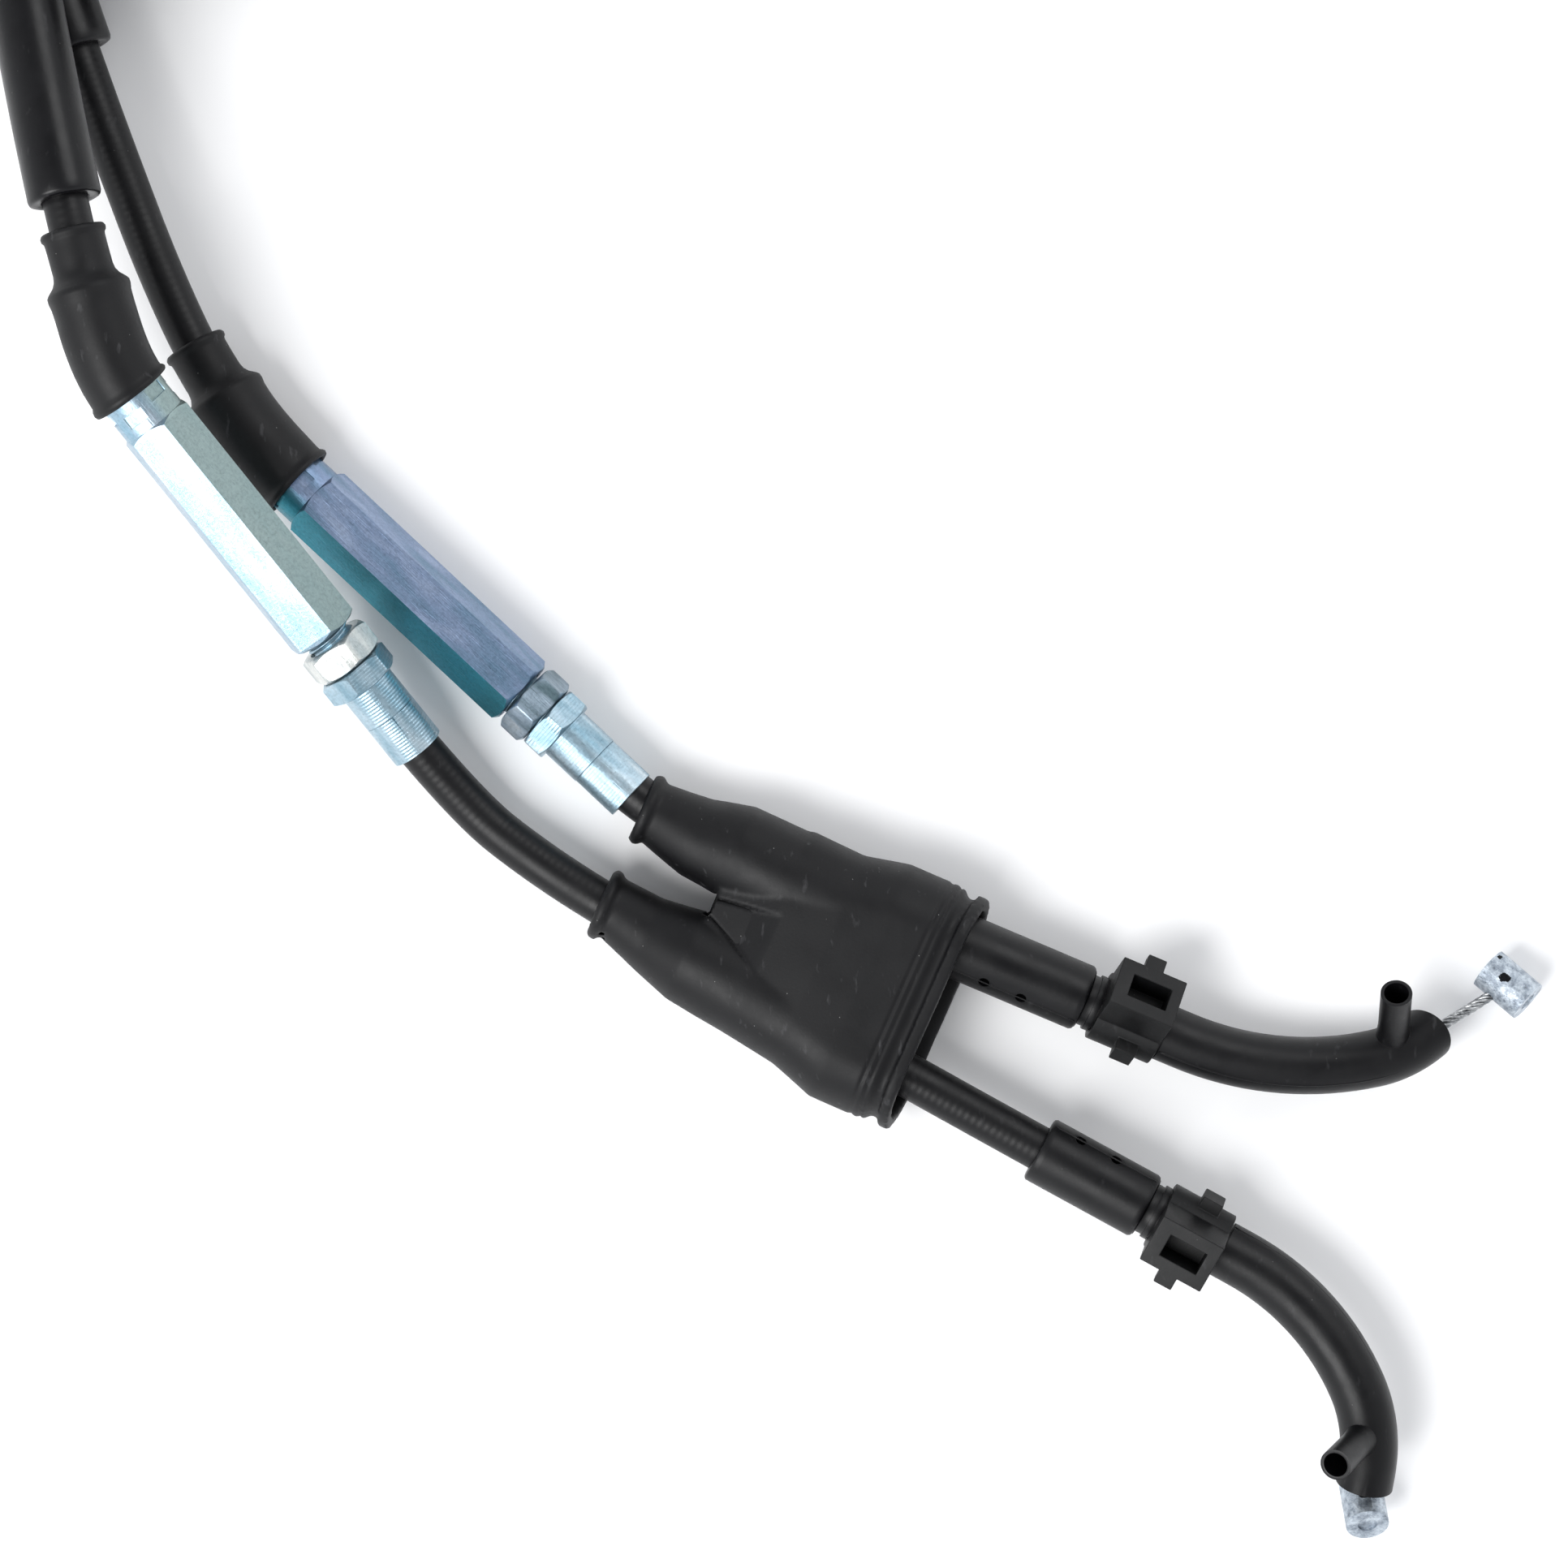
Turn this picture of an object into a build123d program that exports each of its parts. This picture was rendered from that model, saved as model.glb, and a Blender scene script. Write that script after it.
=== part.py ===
from build123d import *
import math
import os

# A pair of motorcycle throttle cables, pull and return, laid flat: +Z is up and the bench is z = 0.
# Each cable runs from a drum nipple and a moulded elbow, through the shared rubber boot and a screw
# adjuster, along its casing to a coil and the threaded end that clamps in the throttle body bracket.
# "upper" is the cable whose elbow lies further along +Y, "lower" the other one. Millimetres.

# Hexagon parts of the screw adjuster
FLATS = 8.0
THREAD_R = 2.95
THREAD_BORE_R = 3.03
THREAD_LENGTH = 16.0
NECK_R = 3.95
NECK_LENGTH = 7.0
NECK_BORE_R = 3.25
CAP_SEAT_DEPTH = 10.0
BARREL_WALL = 1.6
NUT_THICK = 3.5
NUT_GAP = 0.15
COLLAR_THICK = 2.9
FERRULE_R = 3.3
WIRE_BORE_R = 1.0

# Casing, sleeve, wire and nipples
CASING_R = 2.65
CONDUIT_R = 1.9
LINER_R = 1.2
FIT = 0.05
SLEEVE_R = 4.3
SLEEVE_BORE_R = 2.85
WIRE_R = 0.62
NIPPLE_R = 2.55
NIPPLE_LENGTH = 6.2
CAP_R = 3.15
CAP_LENGTH = 11.0

# Elbow and its lock clip
COLLAR_R = 4.0
COLLAR_LENGTH = 14.4
ELBOW_NECK_R = 3.1
ELBOW_R = 3.4
ELBOW_BORE_R = 1.1
ELBOW_STRAIGHT = 27.0
CASING_SEAT = 9.0
PIN_R = 1.85
PIN_LENGTH = 11.3
PIN_FOOT = 4.5
CLIP_START = 16.2
CLIP_LENGTH = 8.0
CLIP_WIDTH = 6.2
CLIP_TOP = 7.8
CLIP_RING_R = 4.15

# Twin boot, in a frame whose u axis leaves the mouth and whose v axis crosses it.
# A leg's stations and the body's sections are u, v, z, then the radius, or half the width and the radius.
BOOT_WALL = 1.3
LEG_HOLE_R = 3.1
MOUTH_HALF = 14.9
MOUTH_ROUND = 6.6

# Coil of each spare length: two layers of two turns, one coil on top of the other
COIL_CENTRE = (-59.3, 150.0)
COIL_OUTER_TURN = 32.7
COIL_INNER_TURN = 27.3
COIL_BASE = 1.25
LAYER = 5.3
COIL_GAP = 0.2
CAP_LEAD = 8.0

# Throttle body end
END_THREAD_R = 3.0
END_THREAD_LENGTH = 18.0
END_HEAD_R = 4.0
END_HEAD_LENGTH = 8.0
END_NUT_FLATS = 10.0
END_NUT_THICK = 4.0
END_WIRE_LENGTH = 38.0
END_NIPPLE_R = 2.4
END_NIPPLE_LENGTH = 5.0

LARGEST_ARC = 400.0
UP = Vector(0, 0, 1)


def save(shape, node):
    export_step(shape, f"parts/{node}.step")


def heading(azimuth, slope=0.0):
    """Unit direction from a bearing in the bench plane and a slope above it, in degrees."""
    a = math.radians(azimuth)
    s = math.radians(slope)
    return Vector(math.cos(s) * math.cos(a), math.cos(s) * math.sin(a), math.sin(s))


def axis_frame(origin, direction):
    """Frame with z along a direction and x as near to straight up as it can be."""
    x = (UP - direction * UP.dot(direction)).normalized()
    return Plane(origin=origin, x_dir=x, z_dir=direction)


def cylinder(radius, start, end):
    return Pos(0, 0, start) * Cylinder(radius, end - start, align=(Align.CENTER, Align.CENTER, Align.MIN))


def rolled_rim(centre, direction, radius, proud, width):
    """Loft stations of a rolled rim that starts at a centre and stands proud of a rubber boot."""
    steps = ((0.0, proud * 0.4), (0.3, proud), (0.7, proud), (1.0, 0.0))
    return [(centre + direction * (width * along), direction, radius + out) for along, out in steps]


def hexagon(flats, start, end, turn, chamfer_depth=0.5):
    """Hexagonal bar, its corners rounded off at both ends by a turned chamfer."""
    prism = extrude(Rot(0, 0, turn + 30) * RegularPolygon(flats / math.sqrt(3), 6), end - start)
    reach = flats / math.sqrt(3)
    outline = Polyline(
        (0, 0),
        (flats / 2 - 0.1, 0),
        (reach + 0.05, chamfer_depth),
        (reach + 0.05, end - start - chamfer_depth),
        (flats / 2 - 0.1, end - start),
        (0, end - start),
        close=True,
    )
    turned = revolve(Plane.XZ * make_face(outline), Axis.Z)
    return Pos(0, 0, start) * (prism & turned)


def arc_radii(points, lead_in=None, lead_out=None):
    """One radius for each corner: 0.45 of the shorter run, over the tangent of half the turn.

    A lead is the length that the first or last arc may take up beside the socket it comes out of.
    """
    radii = []
    last = len(points) - 2
    for k in range(1, len(points) - 1):
        run_in = points[k] - points[k - 1]
        run_out = points[k + 1] - points[k]
        half = math.radians(run_in.get_angle(run_out)) / 2
        tangent = 0.45 * min(run_in.length, run_out.length)
        if k == 1 and lead_in:
            tangent = min(tangent, lead_in)
        if k == last and lead_out:
            tangent = min(tangent, lead_out)
        radii.append(min(tangent / math.tan(half), LARGEST_ARC))
    return radii


def swept(path, radius):
    section = Plane(origin=path @ 0, z_dir=path % 0) * Circle(radius)
    return sweep(section, path=path)


def swept_tube(name, points, radii, outer, inner=0.0):
    """Round tube along straight runs and tangent arcs, with its volume compared with its length."""
    path = FilletPolyline(*points, radius=radii)
    solid = swept(path, outer)
    area = math.pi * outer**2
    if inner:
        solid = solid - swept(path, inner)
        area -= math.pi * inner**2
    share = solid.volume / (area * path.length)
    print(f"{name}: length {path.length:.1f}, volume share {share:.3f}, radii {[round(r) for r in radii]}")
    return solid


# ---------------------------------------------------------------- screw adjuster

def adjuster_barrel(length, turn):
    """Long hexagon barrel: thread bore at the nut end, swivel seat for the casing cap at the neck."""
    body = hexagon(FLATS, 0, length, turn, 0.6)
    neck = cylinder(NECK_R, -NECK_LENGTH, 0.5)
    for k in range(6):
        dent = Rot(0, 0, 60 * k + turn) * Pos(NECK_R + 0.35, 0, -1.9 - 1.1 * (k % 2)) * Box(1.5, 2.6, 1.5)
        neck = neck - dent
    barrel = body + neck
    barrel = barrel - cylinder(NECK_BORE_R, -NECK_LENGTH - 1, CAP_SEAT_DEPTH)
    barrel = barrel - cylinder(WIRE_BORE_R + 0.2, 0, length)
    barrel = barrel - cylinder(THREAD_BORE_R, CAP_SEAT_DEPTH + BARREL_WALL, length + 1)
    return barrel


def adjuster_stud(nut_end, ferrule_length, turn):
    """Threaded stud, hexagon collar and crimped ferrule, turned from one bar."""
    thread = cylinder(THREAD_R, nut_end - NUT_THICK - NUT_GAP - THREAD_LENGTH, nut_end)
    start = nut_end
    collar = hexagon(FLATS, start, start + COLLAR_THICK, turn, 0.4)
    end = start + COLLAR_THICK + ferrule_length
    ferrule = cylinder(FERRULE_R, start, end)
    grip_start = start + COLLAR_THICK + 0.45 * ferrule_length
    crimp = hexagon(2 * FERRULE_R - 0.2, grip_start, end, turn, 0.2)
    ferrule = cylinder(FERRULE_R, start, grip_start) + (ferrule & crimp)
    stud = thread + collar + ferrule
    stud = stud - cylinder(CASING_R + FIT, end - CASING_SEAT, end + 1)
    return stud - cylinder(WIRE_BORE_R, -20, end)


def lock_nut(start, turn):
    return hexagon(FLATS, start, start + NUT_THICK, turn, 0.5) - cylinder(THREAD_BORE_R, start - 1, start + 9)


def casing_cap():
    """Drawn cap on the end of the long casing, which turns in the barrel's neck."""
    top = CAP_SEAT_DEPTH - 0.3
    cap = cylinder(CAP_R, top - CAP_LENGTH, top)
    cap = cap - cylinder(CASING_R + FIT, top - CAP_LENGTH - 1, top - 2.0)
    return cap - cylinder(WIRE_BORE_R, top - 3, top + 1)


def dust_boot(frame, bend_points):
    """Rubber boot over the neck, turning with the casing, stepped down to a small rim."""
    mouth = frame.origin - frame.z_dir * 2.6
    knee = frame.origin - frame.z_dir * (NECK_LENGTH + 0.4)
    step, rim = [Vector(*p) for p in bend_points]
    before = (knee - step).normalized()
    after = (step - rim).normalized()
    big, small = 4.75, 3.55
    stations = rolled_rim(mouth, frame.z_dir * -1, big, 0.3, 1.0)
    stations += [
        (knee, (frame.z_dir + before).normalized() * -1, big),
        (step, before * -1, big + 0.05),
        (step - before * 1.7, (before + after).normalized() * -1, small + 0.1),
    ]
    stations += [(c, after * -1, r) for c, _, r in rolled_rim(rim, after, small, 0.3, 0.9)[::-1]]
    hollow = [
        (mouth + frame.z_dir * 2, frame.z_dir, 4.22),
        (knee, (frame.z_dir + before).normalized(), 4.22),
        (step - before * 0.2, before, 3.9),
        (step - before * 1.9, (before + after).normalized(), CASING_R + 0.3),
        (rim - after * 2, after, CASING_R + 0.3),
    ]
    outer = loft([axis_frame(c, z) * Circle(r) for c, z, r in stations], ruled=True)
    inner = loft([axis_frame(c, z * -1) * Circle(r) for c, z, r in hollow], ruled=True)
    boot = outer - inner
    print(f"dust boot: volume {boot.volume:.0f}, solids {len(boot.solids())}")
    return boot


# ---------------------------------------------------------------- elbow and clip

def elbow(place, arcs, roll_side, tip_straight, collar_start, holes, pin_at, pin_lean, tip_lean):
    """Moulded elbow. Its own frame has x along the collar and z up; the bend lies in the xy plane."""
    path = Line((COLLAR_LENGTH - 1, 0), (ELBOW_STRAIGHT, 0))
    for radius, angle in arcs:
        path = path + JernArc(start=path @ 1, tangent=path % 1, radius=radius, arc_size=roll_side * angle)
    tip_axis = path % 1
    tip = path @ 1 + tip_axis * tip_straight
    path = path + Line(path @ 1, tip + tip_axis * 3.5)
    wire = Wire(path.edges())
    arm = sweep(Plane(origin=wire @ 0, z_dir=wire % 0) * Circle(ELBOW_R), path=wire)
    neck = Plane.YZ * cylinder(ELBOW_NECK_R, COLLAR_LENGTH - 1, CLIP_START + CLIP_LENGTH + 1)
    keep = Pos(CLIP_START + CLIP_LENGTH + 0.3, -60, -10) * Box(
        90, 120, 20, align=(Align.MIN, Align.MIN, Align.MIN)
    )
    collar_end = Plane.YZ * cylinder(COLLAR_R, collar_start, COLLAR_LENGTH)
    collar_end = chamfer(collar_end.edges().filter_by(GeomType.CIRCLE), 0.45)
    rear_flange = Plane.YZ * cylinder(ELBOW_R, COLLAR_LENGTH + 0.9, CLIP_START - 0.15)
    body = (arm & keep) + neck + collar_end + rear_flange
    pin_root = Vector(*pin_at)
    foot = Pos(0, 0, PIN_FOOT / 2) * Cone(PIN_R + 0.4, PIN_R, PIN_FOOT)
    pin = foot + cylinder(PIN_R, PIN_FOOT, PIN_LENGTH) - cylinder(1.45, 6.0, 20)
    pin = axis_frame(pin_root, pin_lean) * pin
    body = body + pin
    cut_normal = (tip_axis * math.cos(tip_lean) - UP * math.sin(tip_lean)).normalized()
    cut = Plane(origin=tip, z_dir=cut_normal) * Box(20, 20, 12, align=(Align.CENTER, Align.CENTER, Align.MIN))
    body = body - cut
    body = body - Plane.YZ * cylinder(CASING_R + FIT, collar_start - 1, CASING_SEAT)
    bore_path = Wire((Line((CASING_SEAT - 1, 0), (COLLAR_LENGTH - 1, 0)) + path).edges())
    body = body - swept(bore_path, ELBOW_BORE_R)
    for at in holes:
        hole = Rot(roll_side * -52, 0, 0) * Pos(at, 0, 3) * Cylinder(0.68, 4.2)
        body = body - hole
    return place * body


def elbow_clip(place, lean):
    """Lock clip pressed round the elbow's neck, with a window, a latch tongue and a thumb tab."""
    side = 1 if lean > 0 else -1
    end = CLIP_START + CLIP_LENGTH
    middle = (CLIP_START + end) / 2
    tower = Pos(middle, 0, CLIP_TOP / 2) * Box(CLIP_LENGTH, CLIP_WIDTH, CLIP_TOP)
    ring = Plane.YZ * cylinder(CLIP_RING_R, CLIP_START, end)
    tab = Pos(CLIP_START + 3.8, -side * (CLIP_WIDTH / 2 + 0.5), CLIP_TOP - 0.75) * Box(2.3, 2.2, 1.5)
    tongue = Pos(CLIP_START + 4.6, side * 4.3, 0.2) * Box(2.6, 2.0, 3.0)
    clip = tower + ring + tab + tongue
    clip = clip - Plane.YZ * cylinder(ELBOW_NECK_R + FIT, CLIP_START - 1, end + 1)
    clip = clip - Pos(middle + 0.2, 0, CLIP_TOP) * Box(4.8, 2.9, 7.0)
    return place * (Rot(lean, 0, 0) * clip)


# ---------------------------------------------------------------- twin boot

BOOT_MOUTH = Vector(16.5, -15.5, 7.2)
BOOT_U = heading(-24)
BOOT_V = heading(66)


def boot_point(u, v, z):
    return BOOT_MOUTH + BOOT_U * u + BOOT_V * v + UP * (z - BOOT_MOUTH.Z)


LEGS = {
    "upper": [
        (-40.6, 8.1, 5.1, 3.75),
        (-34.0, 7.5, 5.3, 4.85),
        (-29.0, 7.9, 5.9, 5.7),
        (-15.0, 7.2, 6.9, 6.3),
    ],
    "lower": [
        (-40.6, -4.2, 4.8, 3.75),
        (-34.7, -5.2, 5.0, 4.5),
        (-29.5, -5.7, 5.9, 5.7),
        (-15.0, -6.8, 6.9, 6.3),
    ],
}
BODY_SECTIONS = [
    (-29.0, 1.0, 6.0, 9.0, 3.2),
    (-21.5, 0.8, 6.7, 13.0, 5.4),
    (-15.0, 0.2, 6.9, 13.4, 6.3),
    (-9.5, 0.0, 7.0, MOUTH_HALF, MOUTH_ROUND),
    (-2.6, 0.0, 7.1, MOUTH_HALF, MOUTH_ROUND),
    (-1.8, 0.0, 7.2, MOUTH_HALF - 0.9, MOUTH_ROUND - 0.7),
    (0.0, 0.0, 7.2, MOUTH_HALF - 0.9, MOUTH_ROUND - 0.7),
]


def boot_section(u, v, z, half, radius):
    place = Plane(origin=boot_point(u, v, z), x_dir=BOOT_V, z_dir=BOOT_U)
    return place * SlotOverall(2 * half, 2 * radius)


def boot_body(wall, reach=0.0):
    """Loft of the boot's flat body, thinned by a wall and carried on past the mouth by a reach."""
    sections = []
    for u, v, z, half, radius in BODY_SECTIONS:
        inward = wall * 0.55 if u > -2 else wall
        sections.append(boot_section(u, v, z, half - inward, radius - inward))
    u, v, z, half, radius = BODY_SECTIONS[-1]
    inward = wall * 0.55
    if reach:
        sections.append(boot_section(u + reach, v, z, half - inward, radius - inward))
    return loft(sections, ruled=True)


def boot_leg(stations, wall):
    """Loft of one leg; with a wall it is the leg's hollow, whose two ends run out of the rubber."""
    u, v, z, r = stations[0]
    if wall:
        circles = [(boot_point(u - 2.0, v, z), LEG_HOLE_R)]
    else:
        circles = [(c, radius) for c, _, radius in rolled_rim(boot_point(u - 0.7, v, z), BOOT_U, r, 0.6, 1.6)]
    for k, (u, v, z, r) in enumerate(stations[1:]):
        circles.append((boot_point(u, v, z), LEG_HOLE_R + 0.5 if wall and k == 0 else r - wall))
    return loft([Plane(origin=c, x_dir=BOOT_V, z_dir=BOOT_U) * Circle(r) for c, r in circles], ruled=True)


def twin_boot():
    boot = boot_body(0.0)
    for stations in LEGS.values():
        boot = boot + boot_leg(stations, 0.0)
    boot = boot + extrude(boot_section(-0.7, 0.0, 7.2, MOUTH_HALF - 0.1, MOUTH_ROUND), 1.4)
    boot = boot - boot_body(BOOT_WALL, 2.0)
    for stations in LEGS.values():
        boot = boot - boot_leg(stations, BOOT_WALL)
    print(f"twin boot: volume {boot.volume:.0f}, solids {len(boot.solids())}")
    return boot


# ---------------------------------------------------------------- wires, nipples and ends

def nipple(centre, direction, wire_direction, radius=NIPPLE_R, length=NIPPLE_LENGTH):
    """Cast drum nipple: a short bar with the wire let into its side."""
    place = Plane(origin=centre, z_dir=direction)
    body = place * Cylinder(radius, length)
    body = body - place * Pos(0, 0, length / 2) * Cylinder(radius * 0.45, 0.6)
    socket = Plane(origin=centre, z_dir=wire_direction * -1) * cylinder(WIRE_R + FIT, -0.5, radius + 1)
    return body - socket


def straight_wire(start, end):
    run = Vector(*end) - Vector(*start)
    return Plane(origin=start, z_dir=run.normalized()) * cylinder(WIRE_R, 0, run.length)


def end_stud():
    """Head that takes the casing, then the thread that the bracket's two nuts clamp."""
    stud = cylinder(END_HEAD_R, 0, END_HEAD_LENGTH)
    stud = stud + hexagon(FLATS, END_HEAD_LENGTH, END_HEAD_LENGTH + 2.0, 0, 0.4)
    stud = stud + cylinder(END_THREAD_R, END_HEAD_LENGTH, END_HEAD_LENGTH + 2 + END_THREAD_LENGTH)
    stud = stud - cylinder(CASING_R + FIT, -1, END_HEAD_LENGTH - 1)
    return stud - cylinder(WIRE_BORE_R, 0, 60)


def end_nut(start):
    nut = hexagon(END_NUT_FLATS, start, start + END_NUT_THICK, 12, 0.5)
    return nut - cylinder(END_THREAD_R + 0.08, start - 1, start + 9)


def end_seal(start):
    """Rubber wiper cap on the thread's end, which keeps grit off the wire."""
    seal = cylinder(END_THREAD_R + 1.1, start, start + 4.0) + cylinder(1.9, start + 4.0, start + 7.5)
    seal = seal - cylinder(END_THREAD_R + FIT, start - 1, start + 3.0)
    return seal - cylinder(WIRE_R + 0.25, start, start + 9)


def coil_ring(base):
    """Outer shape of one coil: a ring with rounded corners, two turns wide and two layers high."""
    inner = COIL_INNER_TURN - CASING_R
    outer = COIL_OUTER_TURN + CASING_R
    middle = (inner + outer) / 2
    height = LAYER + 2 * CASING_R
    section = Plane.XZ * Pos(middle, base + height / 2) * RectangleRounded(outer - inner, height, 2.5)
    return Pos(*COIL_CENTRE, 0) * revolve(section, Axis.Z)


def coil_ties():
    """Two nylon ties, each round both coils."""
    low = COIL_BASE - 0.15
    high = COIL_BASE + 2 * (LAYER + 2 * CASING_R) + COIL_GAP + 0.15
    inner = COIL_INNER_TURN - CASING_R - 0.15
    outer = COIL_OUTER_TURN + CASING_R + 0.15
    middle = (inner + outer) / 2
    solids = []
    for angle in (-20, 245):
        hole = Pos(middle, 0, (low + high) / 2) * Box(outer - inner, 12, high - low)
        band = Pos(middle, 0, (low + high) / 2) * Box(outer - inner + 2, 4.5, high - low + 2)
        head = Pos(outer + 1.8, 0, high - 4) * Box(3.6, 6.0, 5.0)
        solids.append(Pos(*COIL_CENTRE, 0) * Rot(0, 0, angle) * (band + head - hole))
    return Compound(children=solids)


# ---------------------------------------------------------------- the two cables

CABLES = {
    "upper": {
        "adjuster_at": (-56.7, 45.2, 5.3),
        "adjuster_heading": heading(-43.1),
        "barrel_length": 33.6,
        "barrel_turn": -8,
        "nut_turn": -12,
        "collar_turn": 27,
        "gap": 0.4,
        "ferrule_length": 10.8,
        "boot_bend": [(-67.3, 57.0, 5.3), (-70.9, 63.4, 5.3)],
        "casing": [
            (-69.6, 60.4, 5.3),
            (-75.0, 72.0, 5.2),
            (-79.4, 83.5, 5.0),
            (-83.1, 93.5, 4.8),
            (-87.8, 107.0, 4.9),
            (-91.2, 119.5, 4.9),
            (-92.0, 136.0, 3.9),
        ],
        "sleeve_after": 3,
        "sleeve_lead": 5.0,
        "ferrule_lead": 4.4,
        "short_run": [(-1.5, 0.9, 6.0)],
        "elbow_at": (21.1, -8.3, 6.9),
        "elbow_heading": heading(-23.0, -2.3),
        "elbow_arcs": [(38.0, 35.0), (14.0, 27.0)],
        "bend_side": 1,
        "collar_start": -4.0,
        "holes": [2.4, 7.1],
        "pin_at": (50.2, 9.0, 0),
        "pin_lean": Vector(-0.31, 0.524, 0.793).normalized(),
        "tip_lean": math.radians(35),
        "tip_straight": 0.0,
        "wire_inset": 2.0,
        "clip_lean": -29,
        "nipple_at": (84.6, -12.35, 4.2),
        "nipple_axis": Vector(0.72, -0.635, 0.28).normalized(),
        "coil_base": COIL_BASE,
        "tail": [(-59.3, 182.7, 9.2), (-48.0, 182.9, 8.0), (-36.5, 182.5, 6.1)],
        "end_at": (-25.0, 182.7, 5.9),
        "end_heading": heading(0),
    },
    "lower": {
        "adjuster_at": (-74.1, 53.5, 18.0),
        "adjuster_heading": heading(-51.9, -14.9),
        "barrel_length": 32.0,
        "barrel_turn": 19,
        "nut_turn": 14,
        "collar_turn": -14,
        "gap": 1.2,
        "ferrule_length": 10.0,
        "boot_bend": [(-81.4, 68.4, 20.4), (-83.2, 75.3, 20.3)],
        "casing": [
            (-82.6, 72.5, 20.6),
            (-85.6, 85.5, 19.3),
            (-88.2, 97.5, 17.1),
            (-90.6, 109.0, 15.4),
            (-91.8, 120.0, 14.8),
            (-92.1, 136.0, 14.7),
        ],
        "sleeve_after": 0,
        "sleeve_lead": 6.7,
        "ferrule_lead": 8.4,
        "short_run": [
            (-30.0, 1.9, 3.9),
            (-19.5, -4.6, 4.9),
            (-7.5, -11.6, 5.9),
            (8.0, -19.9, 6.3),
        ],
        "elbow_at": (29.0, -31.6, 5.9),
        "elbow_heading": heading(-28.6, 2.7),
        "elbow_arcs": [(31.0, 38.0), (17.0, 34.0)],
        "bend_side": -1,
        "collar_start": 0.0,
        "holes": [3.8, 8.5],
        "pin_at": (49.85, -10.65, 0),
        "pin_lean": Vector(-0.236, -0.408, 0.882).normalized(),
        "tip_lean": math.radians(19),
        "tip_straight": 1.6,
        "wire_inset": 0.0,
        "clip_lean": 19,
        "nipple_at": (67.5, -73.8, 4.45),
        "nipple_axis": Vector(0.06, -0.69, 0.72).normalized(),
        "coil_base": COIL_BASE + LAYER + 2 * CASING_R + COIL_GAP,
        "tail": [
            (-71.5, 180.3, 19.9),
            (-60.5, 184.7, 18.2),
            (-48.0, 189.2, 13.0),
            (-36.0, 193.0, 7.6),
        ],
        "end_at": (-24.0, 195.8, 5.9),
        "end_heading": heading(12),
    },
}


def place_elbow(cable):
    """The elbow's frame: x along the collar, z up."""
    x = cable["elbow_heading"]
    z = (UP - x * UP.dot(x)).normalized()
    return Plane(origin=cable["elbow_at"], x_dir=x, z_dir=z)


def tip_of(cable):
    """Tip point and tip direction of an elbow, in the bench frame."""
    x, y, angle = ELBOW_STRAIGHT, 0.0, 0.0
    for radius, turn in cable["elbow_arcs"]:
        after = angle + math.radians(turn)
        x += radius * (math.sin(after) - math.sin(angle))
        y += radius * (math.cos(angle) - math.cos(after))
        angle = after
    x += cable["tip_straight"] * math.cos(angle)
    y += cable["tip_straight"] * math.sin(angle)
    side = cable["bend_side"]
    frame = place_elbow(cable)
    tip = frame.from_local_coords(Vector(x, side * y, 0))
    ahead = frame.from_local_coords(Vector(x + math.cos(angle), side * (y + math.sin(angle)), 0))
    return tip, (ahead - tip).normalized()


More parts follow.
